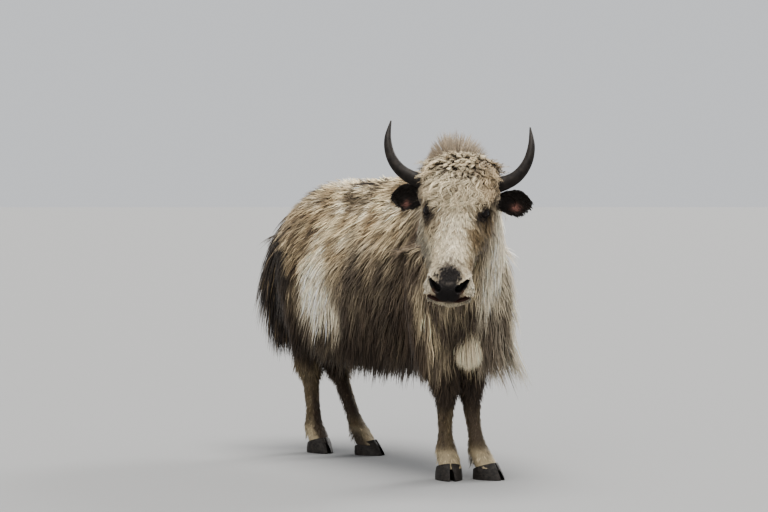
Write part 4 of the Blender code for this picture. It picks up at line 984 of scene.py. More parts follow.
def leg_marking(colour, points):
    """Colour with the legs added: brown, with darker knees and stripes, and paler over the hooves."""
    x, y, z = points.T
    fine = ripple(points * (1, 1, 0.5), 0.018, 12)
    for leg in HOOVES:
        own_x, own_y = leg_middle(leg, z)
        near = step(0.14, 0.09, np.hypot(x - own_x, y - own_y)) * step(0.45, 0.38, z)
        across = (x - own_x) * VIEW_Y - (y - own_y) * VIEW_X
        base = mix(CREAM, TAN, 0.72 + 0.25 * np.clip(fine, -1, 1)[:, None]) * 0.40
        base = blend(base, CREAM * 0.68, step(0.115, 0.085, z))
        if leg.startswith("fore"):
            stripe = 0.9 * step(0.030, 0.012, np.abs(across)) * step(0.09, 0.14, z)
            knee = 0.97 * step(0.205, 0.265, z + 0.012 * fine)
            base = layered(base, (mix(GREY_BROWN, BROWN, 0.75), stripe), (mix(BROWN, DARK, 0.55), knee))
        elif leg == "hind_right":
            base = blend(base, mix(BROWN, DARK, 0.4), 0.95 * step(-0.006, 0.008, across + 0.004 * fine))
        else:
            stripe = 0.95 * step(0.030, 0.018, np.abs(across + 0.002)) * step(0.10, 0.16, z)
            # dark hair with painted shade, low on the half of the leg seen on the left
            inner = 0.9 * step(0.13, 0.07, z) * step(0.02, -0.01, across)
            base = layered(base, (mix(BROWN, DARK, 0.5), stripe), (DARK, inner))
        if leg.startswith("hind"):
            base = blend(base, mix(BROWN, DARK, 0.4), step(0.36, 0.42, z) * 0.8)
        colour = np.where((near > 0.01)[:, None], blend(colour, base, near), colour)
    return colour


def under_forelock(local):
    """1 where the long hair of the forehead hides the skin."""
    x, y, z = local.T
    return step(0.165, 0.125, y + 0.3 * np.abs(x)) * step(0.0, 0.035, z)


def bare_marking(points):
    """Colour of the bare skin of nose and lips."""
    local = to_head(points)
    x, y, z = local.T
    speck = ripple(points, 0.006, 23)
    wide = np.abs(x)
    height, _ = mouth_height(local)
    bridge = bell(x, 0, 0.020) * bell(y + 0.25 * wide, 0.437, 0.006) * step(0.015, 0.025, z)
    return layered(
        np.tile(NOSE * 0.6, (len(points), 1)),
        (NOSE_GREY * 0.6, bridge * (0.8 + 0.5 * speck)),
        (RUST, bell(wide, 0.054, 0.012) * bell(height, 0.014, 0.009) * step(0.43, 0.45, y)),
        (LIP, bell(height, -0.002, 0.008) * 0.95),
        (BLACK * 0.3, near_nostrils(local, 1.5, 0.9)),
    )


def face_marking(points):
    """Colour of the head's coat and skin, from points in the plan frame."""
    local = to_head(points)
    x, y, z = local.T
    wide = np.abs(x)
    broad = ripple(points, 0.05, 21)
    fine = ripple(points, 0.012, 22)
    speck = ripple(points, 0.006, 23)
    side_of_face = step(0.034, 0.070, wide)
    left_cheek = step(0.045, 0.072, x + 0.004 * fine) * step(0.15, 0.20, y) * step(0.40, 0.34, y)
    left_cheek = left_cheek * step(-0.08, -0.03, z)
    crown = step(0.070, 0.020, y + 0.01 * fine) * step(-0.02, 0.03, z)
    temple = step(0.078, 0.100, wide) * step(0.18, 0.12, y)
    throat = step(-0.030, -0.075, z) * step(0.40, 0.30, y)
    jaw = step(-0.035, -0.055, x) * step(0.03, -0.01, z) * step(-0.09, -0.05, z) * step(0.14, 0.20, y)
    colour = layered(
        np.tile(mix(CREAM, WHITE, 0.40), (len(points), 1)),
        (WHITE, bell(wide, 0, 0.038) * step(0.16, 0.24, y) * 0.75),
        (TAN, step(0.2, 1.2, fine + 0.4 * broad) * 0.45),
        # tan on the sides of the face, cut back on the yak's right side as painted light
        (TAN, side_of_face * (0.55 + 0.3 * broad) * mix(0.40, 1.0, step(-0.03, 0.03, x))),
        (BROWN, step(0.3, 1.3, fine + 0.6 * broad) * (0.22 + 0.35 * side_of_face)),
        (mix(BROWN, TAN, 0.62), left_cheek * (0.62 + 0.25 * fine)),
        (TAN, crown * (0.28 + 0.25 * fine)),
        (DIRT, crown * step(0.5, 1.2, fine + 0.4 * broad) * 0.50),
        (mix(GREY_BROWN, TAN, 0.3), temple * 0.8),
        (GREY_BROWN, throat * 0.75),
        (WHITE, jaw * 0.8),
    )
    for side in (1.0, -1.0):
        a, b, _ = in_eye(local, side)
        ring = oval(a, b - 0.005, 0.034, 0.027) + 10 * (x * side < 0)
        dark = (DARK, step(1.20, 0.80, ring) * 0.95)
        colour = layered(colour, (BROWN, step(1.50, 0.90, ring + 0.15 * fine) * 0.9), dark)
    ash = bell(x, 0, 0.044) * step(0.335, 0.385, y + 0.014 * fine + 0.012 * speck) * step(0.0, 0.02, z)
    core = oval(x, y - 0.410, 0.046, 0.038) + 0.16 * fine + 0.14 * speck
    return layered(
        colour,
        (WHITE, step(0.365, 0.405, y) * step(0.046, 0.062, wide) * 0.9),
        (NOSE_GREY, ash * 0.95),
        (NOSE, step(1.15, 0.60, core) * step(0.0, 0.02, z)),
        (mix(WHITE, CREAM, 0.4), step(-0.016, -0.026, z) * step(0.40, 0.42, y)),
        (bare_marking(points), bare(local) * 1.3),
    )


def varied(base, draw, own, clump, single, dark=0.0, dark_colour=None):
    """Each lock and each tuft a little lighter or darker than the marking, a few of them dark."""
    locks = draw.normal(size=own.max() + 1) * clump
    share = np.exp(locks[own] + draw.normal(size=len(own)) * single)
    colour = base * share[:, None]
    if dark:
        pick = draw.random(len(own)) < dark
        colour[pick] = mix(colour[pick], dark_colour, 0.6)
    return colour


# Materials


def set_values(node, values):
    """Constant values of a node's sockets, by their names."""
    for socket, value in values.items():
        node.inputs[socket].default_value = value
    return node


def fresh_material(name, values):
    """New material, its node tree and its shader, with these values on the shader's sockets."""
    material = bpy.data.materials.new(name)
    material.use_nodes = True
    tree = material.node_tree
    return material, tree, set_values(tree.nodes["Principled BSDF"], values)


def add_node(tree, kind, values=None):
    return set_values(tree.nodes.new("ShaderNode" + kind), values or {})


def join(tree, *ends):
    """Links, each from a node's output to another node's input."""
    for start, output, end, socket in ends:
        tree.links.new(start.outputs[output], end.inputs[socket])


def attribute(tree, name):
    node = add_node(tree, "Attribute")
    node.attribute_name = name
    return node


def streaked(tree, shader, noise, low, high):
    """Colour of the markings, lightened and darkened by a noise, on the shader."""
    colour = attribute(tree, "coat")
    levels = add_node(tree, "MapRange", {"From Min": 0.25, "From Max": 0.75, "To Min": low, "To Max": high})
    scaled = add_node(tree, "VectorMath")
    scaled.operation = "SCALE"
    join(
        tree,
        (noise, "Fac", levels, "Value"),
        (colour, "Color", scaled, 0),
        (levels, "Result", scaled, "Scale"),
        (scaled, "Vector", shader, "Base Color"),
    )


def fur_material():
    """Hair in the colours of the markings, each tuft streaked along its length like many fine hairs."""
    looks = {"Roughness": 0.58, "Specular IOR Level": 0.30, "Sheen Weight": 0.15, "Sheen Roughness": 0.45}
    material, tree, shader = fresh_material("fur", looks)
    place = add_node(tree, "UVMap")
    place.uv_map = "OFBake"
    stretch = add_node(tree, "Mapping", {"Scale": (3200.0, 90.0, 1.0)})
    streaks = add_node(tree, "TexNoise", {"Scale": 1.0, "Detail": 1.0})
    streaks.noise_dimensions = "2D"
    join(tree, (place, "UV", stretch, "Vector"), (stretch, "Vector", streaks, "Vector"))
    streaked(tree, shader, streaks, 0.62, 1.38)
    return material


def skin_material():
    """Short fur with a fine bump, and smoother, damper, pebbled skin where it is bare."""
    material, tree, shader = fresh_material("skin", {"Specular IOR Level": 0.22})
    place = add_node(tree, "TexCoord")
    grain = add_node(tree, "TexNoise", {"Scale": 520.0, "Detail": 3.0})
    pebbles = add_node(tree, "TexVoronoi", {"Scale": 330.0})
    bareness = attribute(tree, "bare")
    relief = add_node(tree, "Mix")
    bump = add_node(tree, "Bump", {"Strength": 0.90, "Distance": 0.0014})
    damp = add_node(tree, "MapRange", {"To Min": 0.66, "To Max": 0.52})
    join(
        tree,
        (place, "Object", grain, "Vector"),
        (place, "Object", pebbles, "Vector"),
        (bareness, "Fac", relief, "Factor"),
        (grain, "Fac", relief, "A"),
        (pebbles, "Distance", relief, "B"),
        (relief, "Result", bump, "Height"),
        (bump, "Normal", shader, "Normal"),
        (bareness, "Fac", damp, "Value"),
        (damp, "Result", shader, "Roughness"),
    )
    streaked(tree, shader, grain, 0.78, 1.22)
    return material


def horn_material(name, tone, worn, scale, roughness):
    """Keratin with streaks along it, worn paler in places."""
    material, tree, shader = fresh_material(name, {"Specular IOR Level": 0.22})
    place = add_node(tree, "TexCoord")
    streaks = add_node(tree, "TexNoise", {"Scale": scale, "Detail": 6.0, "Roughness": 0.65})
    ramp = add_node(tree, "ValToRGB")
    for stop, position, colour in zip(ramp.color_ramp.elements, (0.35, 0.72), (tone, worn)):
        stop.position = position
        stop.color = (*colour, 1.0)
    gloss = add_node(tree, "MapRange", {"To Min": roughness - 0.10, "To Max": roughness + 0.18})
    bump = add_node(tree, "Bump", {"Strength": 0.35, "Distance": 0.0010})
    join(
        tree,
        (place, "Object", streaks, "Vector"),
        (streaks, "Fac", ramp, "Fac"),
        (streaks, "Fac", gloss, "Value"),
        (streaks, "Fac", bump, "Height"),
        (ramp, "Color", shader, "Base Color"),
        (gloss, "Result", shader, "Roughness"),
        (bump, "Normal", shader, "Normal"),
    )
    return material


def eye_material():
    """Dark wet eye: brown iris and a wide pupil drawn in its colour layer."""
    looks = {"Roughness": 0.10, "Specular IOR Level": 0.20, "Coat Weight": 0.25, "Coat Roughness": 0.03}
    material, tree, shader = fresh_material("eye", looks)
    join(tree, (attribute(tree, "coat"), "Color", shader, "Base Color"))
    return material


# Head, body, ears, horns, eyes and hooves

FUR = fur_material()
LEG_PARTS = [f"{end}leg_{part}" for end in ("fore", "hind") for part in ("upper", "lower")]
FLESH_NODES = ["head", "neck", "forequarters", "barrel", "hindquarters", "tail", "ear_right", "ear_left"]
FLESH_NODES += [f"{part}_{side}" for part in LEG_PARTS for side in SIDES]

head_points, head_faces = tube_mesh(from_head(head_rings()))
head_skin = Skin(head_points, head_faces)
body_points, body_faces = body_skin()
body = Skin(body_points, body_faces)
ear_meshes = {name: tube_mesh(ear_rings(name)) for name in SIDES}
ear_skins = {name: Skin(*mesh) for name, mesh in ear_meshes.items()}


def ear_marking(points, name):
    """Dark ear with a bare pink fold inside it."""
    mirror = np.array((SIDES[name], 1, 1))
    along, opening, _ = ear_axes(name)
    local = to_head(points) * mirror - EAR_ROOT
    reach, out = local @ along, local @ opening
    drop = local @ (UP @ HEAD_AXES * mirror)
    narrow = 0.013 if name == "left" else 0.009
    pink = bell(reach, 0.068, narrow) * bell(drop, -0.022, 0.011) * step(-0.042, -0.026, out)
    return blend(np.tile(DARK * 0.62, (len(points), 1)), PINK, pink * 1.2)


def skin_piece():
    """Body, head, lids and ears as one skin, with its colours and where it is bare."""
    face_tree = BVHTree.FromPolygons(to_head(head_points).tolist(), head_faces.tolist())
    lids = []
    for side in SIDES.values():
        rings = lid_mesh(side, face_tree)
        faces = sheet_faces(rings.shape[0], rings.shape[1])
        lids.append((from_head(rings.reshape(-1, 3)), faces if side < 0 else faces[:, ::-1]))
    meshes = [(body_points, body_faces), (head_points, head_faces), *lids, *ear_meshes.values()]
    points, faces = together(meshes)
    scalp = under_forelock(to_head(head_points))
    colours = [body_marking(body_points) * 0.7, blend(face_marking(head_points) * 0.85, BROWN * 0.7, scalp)]
    for lid_points, _ in lids:
        edge = step(0.030, 0.016, from_eyes(to_head(lid_points), 0.012))
        colours.append(blend(face_marking(lid_points), BLACK, edge))
    colours += [ear_marking(ear_points, name) for name, (ear_points, _) in ear_meshes.items()]
    piece = placed("skin", "head", points, faces, skin_material(), *FLESH_NODES)
    colour_layer(piece.data, np.concatenate(colours))
    bareness = piece.data.attributes.new("bare", "FLOAT", "POINT")
    own = np.concatenate((np.zeros(len(body_points)), bare(to_head(points[len(body_points):]))))
    bareness.data.foreach_set("value", own.astype(np.float32))


def eye_piece(name, material):
    """Eyeball with a bulging cornea, and its colours by distance from the line of sight."""
    side = SIDES[name]
    look, slant, rise = eye_axes(side)
    turn = np.linspace(0, math.pi, 60)[:, None]
    angle = TAU * np.arange(72)[None] / 72
    direction = (
        look * np.cos(turn)[..., None]
        + slant * (np.sin(turn) * np.cos(angle))[..., None]
        + rise * (np.sin(turn) * np.sin(angle))[..., None]
    )
    bulge = 1 + 0.05 * step(0.62, 0.35, turn)
    rings = EYE * (side, 1, 1) + direction * (EYE_RADIUS * bulge + 0 * angle)[..., None]
    points, faces = tube_mesh(from_head(rings[1:-1]))
    piece = placed("eye_ball_" + name, "eye", points, faces, material, "eye_" + name)
    a, b, _ = in_eye(to_head(points), side)
    colour = layered(
        np.tile(EYE_BASE, (len(points), 1)),
        (IRIS, step(0.66, 0.60, np.sqrt(a**2 + b**2) / EYE_RADIUS)),
        (PUPIL, step(1.1, 0.9, oval(a, b, 0.0068, 0.0040))),
    )
    colour_layer(piece.data, colour)


skin_piece()
horn = horn_material("horn", (0.011, 0.009, 0.008), (0.036, 0.029, 0.024), 60.0, 0.52)
hoof = horn_material("hoof", (0.014, 0.012, 0.011), (0.050, 0.043, 0.037), 90.0, 0.50)
eye = eye_material()
for name in SIDES:
    eye_piece(name, eye)
    placed("horn_sheath_" + name, "horn", *tube_mesh(horn_rings(name)), horn, "horn_" + name)
for leg in HOOVES:
    for name, side in SIDES.items():
        mesh = tube_mesh(claw_rings(leg, side))
        placed(f"hoof_{leg}_{name}", "claw", *mesh, hoof, f"claw_{leg}_{name}")


# Where the coat grows and how it lies

NECK_BASE, NECK_AHEAD = np.array((-0.030, -0.110, 0.840)), unit(np.array((-0.20, -0.85, 0.50)))
TUFT = np.array((-0.056, -0.085))  # where the pale tuft hangs from the brisket
TUFT_END, TUFT_ROUND = 0.388, 26.0  # height of its lowest hair, and how fast its end rises round that
TAIL_END = 0.375
SHORTEST = 0.03
HEM_SHARE = 0.95  # share of the drop to the hem that a tuft's length covers


def ahead_of_neck(points):
    return (points - NECK_BASE) @ NECK_AHEAD


def in_head(points):
    """1 where the body's skin is buried in the head."""
    local = (to_head(points) - (0.0, 0.08, -0.02)) / (0.10, 0.12, 0.085)
    return (local**2).sum(1) < 1


def hem(points):
    """Height that the ends of the long coat stop at."""
    x, y, _ = points.T
    low = 0.335 + 0.03 * step(0.85, 1.05, y) + 0.08 * step(1.10, 1.22, y)
    low += 0.016 * np.clip(ripple(points * (1, 1, 0), 0.050, 91), -1.5, 1.5)
    low -= 0.022 * step(0.16, 0.02, y) * step(0.04, 0.10, np.abs(x + 0.02))
    return low + 0.15 * bell(x, TUFT[0], 0.038) * step(0.08, 0.0, y)


def swirl(points, size, seed):
    """A ripple in each direction."""
    return np.stack([ripple(points, size, seed + k) for k in range(3)], 1)


def locks(points, flow, **values):
    """What the guides at these points are made with, every value spread to one for each guide.

    Lift is a lock's height over the skin and body its depth, rise how it leaves the skin, fall how it
    sinks, clump how its tufts draw together, and curl and curls the size and number of its waves.
    """
    return {"flow": flow} | {kind: np.broadcast_to(value, len(points)) for kind, value in values.items()}


def trunk_style(points, normals, draw):
    """Long hair that lies back and down, fuller low on the sides and flared off the left shoulder."""
    x, y, z = points.T
    count = len(points)
    outward = np.sign(x) * step(0.0, 0.06, np.abs(x))
    top = step(0.90, 1.02, z)
    low = step(0.80, 0.55, z)
    chest = step(0.06, -0.08, y)
    rear = step(0.98, 1.15, y)
    shoulder = step(0.30, 0.08, y)
    flare = 1.7 * step(0.02, 0.09, x) * step(0.22, 0.05, y) * step(0.88, 0.66, z)
    full = step(0.10, 0.18, x) * step(0.22, 0.40, y) * step(1.05, 0.90, y) * step(0.85, 0.66, z)
    across = outward * (0.10 + 0.7 * top) + 0.40 * flare + 0.45 * full
    back = mix(mix(0.85 - 0.60 * low + 0.6 * top - 0.45 * shoulder, -0.10, chest), 0.12, rear)
    flow = xyz(across, back, -1.0 + 0.65 * top)
    flow += np.array((0.16, 0.20, 0.10)) * np.clip(swirl(points, 0.10, 31), -1.3, 1.3)
    length = 0.058 + 0.015 * step(0.98, 0.84, z) + 0.045 * low + 0.025 * step(0.60, 0.46, z)
    length += 0.045 * chest * low + 0.030 * rear
    length = length * draw.uniform(0.8, 1.15, count)
    room = (z - hem(points)) / HEM_SHARE * draw.uniform(0.72, 1.06, count)
    return locks(
        points,
        flow,
        length=np.clip(room, SHORTEST, length + 0.05 * flare),
        lift=0.005 + 0.005 * low + 0.006 * top + 0.010 * flare + 0.026 * full,
        body=0.008 + 0.010 * low + 0.006 * chest + 0.010 * top + 0.012 * flare + 0.008 * full,
        fall=0.03 + 0.10 * low + 0.05 * rear - 0.06 * flare * low - 0.05 * full * low,
        width=0.0039 + 0.0010 * low,
        curl=(0.0022 + 0.0022 * draw.random(count) + 0.002 * chest) * (1 - 0.6 * rear),
        curls=draw.uniform(1.0, 2.0, count),
        rise=0.10 + 0.12 * top,
        clump=(0.24 + 0.22 * low + 0.14 * draw.random(count)) * (1 - 0.5 * rear),
    )


def neck_style(points, normals, draw):
    """Mane that parts along the top of the neck and hangs."""
    x, _, z = points.T
    count = len(points)
    flow = -NECK_AHEAD * 0.35 - UP * 0.9 + 0.22 * swirl(points, 0.07, 41)
    top = step(0.4, 0.9, normals[:, 2])
    flow += xyz(np.sign(x + 0.1) * 0.5, 0.5, 0.0) * top[:, None]
    length = (0.095 + 0.050 * step(0.95, 0.70, z)) * draw.uniform(0.8, 1.15, count)
    return locks(
        points,
        flow,
        length=np.clip((z - hem(points)) / HEM_SHARE, SHORTEST, length),
        lift=0.007,
        body=0.014,
        fall=0.12,
        width=0.0044,
        curl=0.0035 + 0.0035 * draw.random(count),
        curls=draw.uniform(1.2, 2.4, count),
        rise=0.12,
        clump=0.50 + 0.15 * draw.random(count),
    )


def tuft_style(points, normals, draw):
    """Rounded pale tuft that hangs from the brisket."""
    away = points[:, :2] - TUFT
    far = np.linalg.norm(away, axis=1)
    length = (points[:, 2] - TUFT_END - TUFT_ROUND * far**2).clip(SHORTEST)
    shape = {"lift": 0.006, "body": 0.020, "fall": 0.10, "width": 0.0042, "rise": 0.1}
    flow = xyz(away[:, 0] * 5, away[:, 1] * 5 - 0.12, -1.0)
    return locks(points, flow, length=length, curl=0.002, curls=1.2, clump=0.2, **shape)


def leg_style(points, normals, draw):
    """Short hair, long and loose over the knees and hocks, and a little longer behind the fetlocks."""
    z = points[:, 2]
    behind = step(0.2, 0.8, normals[:, 1])
    upper = step(0.25, 0.38, z)
    low = step(0.098, 0.075, z)
    length = 0.015 + 0.055 * upper + 0.012 * behind * step(0.35, 0.2, z)
    length += 0.009 * behind * bell(z, FETLOCK_Z - 0.02, 0.03) + 0.010 * low
    return locks(
        points,
        -UP + 0.15 * swirl(points, 0.05, 51) + normals * (0.12 * low)[:, None],
        length=length * draw.uniform(0.8, 1.2, len(points)),
        lift=0.0018 + 0.010 * upper,
        body=0.0030 + 0.014 * upper,
        fall=0.05,
        width=0.0022 + 0.0022 * upper,
        curl=0.0008 + 0.0015 * upper,
        curls=1.5,
        rise=0.14 + 0.02 * low,
        clump=0.35,
    )


def tail_style(points, normals, draw):
    """Long smooth hair that falls from the tail in a loose sheaf."""
    z = points[:, 2]
    count = len(points)
    flow = -UP + normals * 0.08 + 0.06 * swirl(points, 0.08, 61)
    below = step(0.92, 0.80, z)
    length = 0.12 + 0.10 * below
    room = z - TAIL_END - 0.03 * draw.random(count)
    length = np.clip(room, 0.05, length * draw.uniform(0.85, 1.2, count))
    curl = 0.0020 + 0.002 * draw.random(count)
    shape = {"lift": 0.012 + 0.012 * below, "body": 0.020, "fall": 0.22, "width": 0.0042, "rise": 0.18}
    return locks(points, flow, length=length, curl=curl, curls=0.9, clump=0.12, **shape)


def crest_style(points, normals, draw):
    """Upright hair on the withers, highest in its middle."""
    x, y, _ = points.T
    share = step(0.0, 0.24, y)
    height = 0.048 + 0.056 * np.sin(math.pi * np.clip((y + 0.02) / 0.24, 0.05, 1))
    height *= 1 - 0.45 * step(0.010, 0.040, np.abs(x - 0.008))
    height *= draw.uniform(0.90, 1.06, len(points))
    shape = {"lift": 0.02, "body": 0.003, "fall": 0.0, "width": 0.0028, "rise": 3.2}
    flow = xyz(x * 5.0, -0.05 + 0.8 * share, 0.0)
    return locks(points, flow, length=height, curl=0.0014, curls=1.5, clump=0.12, **shape)


def face_flow(points):
    """Down the face, fanning out from the middle, in the plan frame."""
    x, y, z = to_head(points).T
    cheek = step(0.02, -0.05, z)
    across = 0.55 * np.sign(x) * step(0.0, 0.05, np.abs(x)) + 0.35 * ripple(points, 0.02, 71)
    return xyz(across, 1.0, -0.25 * cheek - 0.8 * cheek * step(0.30, 0.15, y)) @ HEAD_AXES.T


def face_style(points, normals, draw):
    """Short hair that lengthens up the face, under the jaw and on the right jowl."""
    local = to_head(points)
    x, y, z = local.T
    count = len(points)
    wide = np.abs(x)
    cheek = step(0.055, 0.080, wide) * step(0.40, 0.34, y) * step(0.12, 0.18, y)
    jowl = step(0.040, 0.060, wide) * step(0.020, -0.025, z) * step(0.14, 0.22, y)
    jowl = jowl * step(0.44, 0.38, y) * step(0.02, -0.02, x)
    lips = step(0.050, 0.062, wide) * step(0.395, 0.420, y)
    length = 0.0065 + 0.012 * step(0.40, 0.26, y) + 0.012 * step(0.26, 0.16, y) + 0.012 * cheek
    length += 0.030 * step(-0.02, -0.08, z) * step(0.42, 0.30, y)
    length += 0.032 * jowl + 0.006 * lips
    off_eyes = step(0.018, 0.045, from_eyes(local, 0.012))
    length = length * mix(0.35, 1.0, off_eyes) * draw.uniform(0.8, 1.2, count)
    return locks(
        points,
        face_flow(points),
        length=length,
        lift=0.0010 + 0.12 * length + 0.003 * cheek,
        body=0.0010 + 0.14 * length,
        fall=0.03 + 0.10 * step(-0.02, -0.08, z),
        width=0.0017 + 0.040 * length,
        curl=0.085 * length,
        curls=draw.uniform(0.8, 1.6, count),
        rise=0.18 + 0.15 * cheek + 0.75 * jowl + 0.5 * lips,
        clump=0.45,
    )


def forelock_style(points, normals, draw):
    """Wavy locks down the forehead and a short curly fringe over the poll."""
    x, y, z = to_head(points).T
    count = len(points)
    wide = np.abs(x)
    poll = step(0.066, 0.040, y) * step(0.066, 0.045, wide)
    side = step(0.065, 0.100, wide)
    across = 0.9 * x / 0.10 + (0.50 * ripple(points, 0.045, 81) + 0.8 * poll * ripple(points, 0.02, 82))
    down = mix(1.0, 0.1, step(0.02, -0.02, y) * step(0.02, -0.03, z))
    length = mix(0.074, 0.030, poll) * mix(1.0, 0.62, step(0.10, 0.15, y)) * mix(1.0, 0.55, side)
    length = length * mix(1.0, 0.55, step(0.055, 0.085, wide) * step(0.09, 0.13, y))
    return locks(
        points,
        xyz(across, down, 0.0) @ HEAD_AXES.T,
        length=length * draw.uniform(0.75, 1.2, count),
        lift=0.004 + 0.006 * poll,
        body=0.006 + 0.003 * poll,
        fall=0.03,
        width=0.0025,
        curl=(0.0076 + 0.0036 * draw.random(count)) * mix(1.0, 0.45, poll),
        curls=mix(draw.uniform(1.5, 1.9, count), 1.9, poll),
        phase=3.5 * ripple(points, 0.045, 83),
        rise=0.26 + 0.1 * poll,
        clump=mix(0.72, 0.50, poll),
    )


def ear_reach(points, name):
    """How far along an ear the points are."""
    return (to_head(points) * (SIDES[name], 1, 1) - EAR_ROOT) @ ear_axes(name)[0]


def ear_style(name):
    def style(points, normals, draw):
        tip = step(0.06, 0.11, ear_reach(points, name))
        flow = (ear_axes(name)[0] * (SIDES[name], 1, 1)) @ HEAD_AXES.T - UP * (0.25 + 0.35 * tip)[:, None]
        length = (0.015 - 0.004 * tip) * draw.uniform(0.7, 1.2, len(points))
        shape = {"lift": 0.0015, "body": 0.003, "fall": 0.12, "width": 0.0022, "rise": 0.20}
        return locks(points, flow, length=length, curl=0.0008, curls=1.5, clump=0.4, **shape)

    return style


# Unwraps for the bake, each round the long axis of its part


def unwrapped(along, low, high, angle):
    """Share along a part from low to high, and share of the turn about it."""
    share = 0.01 + 0.975 * np.clip((along - low) / (high - low), 0, 1)
    return np.stack((share, 0.01 + 0.975 * (angle / TAU + 0.5)), 1)


def trunk_unwrap(points):
    x, y, z = points.T
    return unwrapped(y, -0.20, 1.28, np.arctan2(x, z - 0.72))


def neck_unwrap(points):
    x, _, z = points.T
    return unwrapped(ahead_of_neck(points), -0.25, 0.30, np.arctan2(x + 0.1, z - 0.87))


def head_unwrap(points):
    x, y, z = to_head(points).T
    return unwrapped(y, -0.04, 0.48, np.arctan2(x, z + 0.02))


def tail_unwrap(points):
    x, y, z = points.T
    return unwrapped(z, 0.46, 0.98, np.arctan2(x + 0.07, y - 1.28))


def leg_unwrap(points):
    """Each leg has a quarter of the turn."""
    x, y, z = points.T
    angle = np.zeros(len(points))
    for index, hoof in enumerate(HOOVES.values()):
        near = (np.sign(x) == np.sign(hoof[0])) & (np.abs(y - hoof[1] - 0.06) < 0.25)
        own = np.arctan2(x - hoof[0], y - hoof[1] - 0.02)
        angle = np.where(near, (own / TAU + 0.5 + index) / 4 * TAU - TAU / 2, angle)
    return unwrapped(z, 0.03, 0.50, angle)


def ear_unwrap(name):
    along, opening, upward = ear_axes(name)

    def unwrap(points):
        local = to_head(points) * (SIDES[name], 1, 1) - EAR_ROOT
        return unwrapped(local @ along, -0.03, 0.125, np.arctan2(local @ upward, local @ opening))

    return unwrap


# Colours of the hair, by its roots


def body_hair(roots, draw, own):
    return varied(body_marking(roots), draw, own, 0.20, 0.27, 0.10, BROWN)


def tuft_hair(roots, draw, own):
    return varied(np.tile(mix(WHITE, CREAM, 0.4) * 1.08, (len(roots), 1)), draw, own, 0.05, 0.12, 0.04, TAN)


def tail_hair(roots, draw, own):
    return varied(np.tile(DARK * 0.85, (len(roots), 1)), draw, own, 0.25, 0.35, 0.10, TAN)


def face_hair(roots, draw, own):
    colour = varied(face_marking(roots), draw, own, 0.12, 0.20, 0.09, BROWN)
    return blend(colour, BROWN, under_forelock(to_head(roots)) * 0.85)


def forelock_hair(roots, draw, own):
    return varied(face_marking(roots), draw, own, 0.12, 0.14, 0.05, BROWN)


def ear_hair(name):
    def hair(roots, draw, own):
        return varied(ear_marking(roots, name), draw, own, 0.15, 0.2)

    return hair


# Coat of the body

centre_x, centre_y, centre_z = body.centres.T
BARREL_FRONT, BARREL_BACK, HOOF_TOP = 0.34, 0.84, 0.070
dock = along_rows(DOCK, np.linspace(0.25, 1, 60))
from_dock = (np.linalg.norm(body.centres[:, None] - dock[:, :3], axis=2) - dock[:, 3]).min(1)
neck_part = ahead_of_neck(body.centres) > 0
tail_part = (from_dock < 0.012) & (centre_y > 1.205)
leg_part = centre_z < 0.44
leg_part &= ~((centre_y > -0.2) & (centre_z > 0.40) & (body.face_normals[:, 2] < -0.5))
trunk_weight = ~neck_part & ~tail_part & ~leg_part
trunk_weight = trunk_weight * (1 + 0.4 * step(0.8, 0.5, centre_z))
fore = centre_y < BARREL_FRONT
hind = centre_y >= BARREL_BACK
right = centre_x < 0
sections = (
    ("coat_forequarters_right", "forequarters", fore & right, 5600),
    ("coat_forequarters_left", "forequarters", fore & ~right, 5200),
    ("coat_barrel_right", "barrel", ~fore & ~hind & right, 7000),
    ("coat_barrel_left", "barrel", ~fore & ~hind & ~right, 6000),
    ("coat_hindquarters", "hindquarters", hind, 6600),
)
LONG = Growth(steps=4, spacing=0.018, spread=0.30, ragged=0.40)
for seed, (name, slot, area, count) in enumerate(sections, 100):
    coat(name, slot, body, count, trunk_weight * area, LONG, trunk_style, body_hair, trunk_unwrap, seed)

mane_weight = neck_part & ~in_head(body.centres)
MANE = Growth(steps=5, spacing=0.018, spread=0.30, ragged=0.40)
coat("coat_neck", "neck", body, 5200, mane_weight, MANE, neck_style, body_hair, neck_unwrap, 110)
BRUSH = Growth(steps=5, spacing=0.012, spread=0.16, ragged=0.45)
coat("coat_tail", "tail", body, 3800, tail_part, BRUSH, tail_style, tail_hair, tail_unwrap, 111)
leg_weight = leg_part & (centre_z >= HOOF_TOP)
SHORT = Growth(steps=3, spacing=0.010, spread=0.35, sunk=0.0015)
coat("coat_legs", "foreleg", body, 9000, leg_weight, SHORT, leg_style, body_hair, leg_unwrap, 112)
crest = (np.abs(centre_x) < 0.038) & (centre_y > 0.0) & (centre_y < 0.21) & (centre_z > 0.95)
CREST = Growth(steps=3, spacing=0.008, spread=0.20, ragged=0.22, shades=(0.5, 0.8, 1.0, 1.15))
coat("coat_crest", "forequarters", body, 3600, crest, CREST, crest_style, body_hair, trunk_unwrap, 113)
bob = (np.linalg.norm(body.centres[:, :2] - TUFT, axis=1) < 0.033) & (centre_z < 0.56) & (centre_z > 0.44)
BOB = Growth(steps=4, spacing=0.012, spread=0.15, ragged=0.15, shades=(0.62, 0.9, 1.05, 1.1))
coat("coat_brisket", "forequarters", body, 700, bob, BOB, tuft_style, tuft_hair, trunk_unwrap, 114)

# Coat of the head

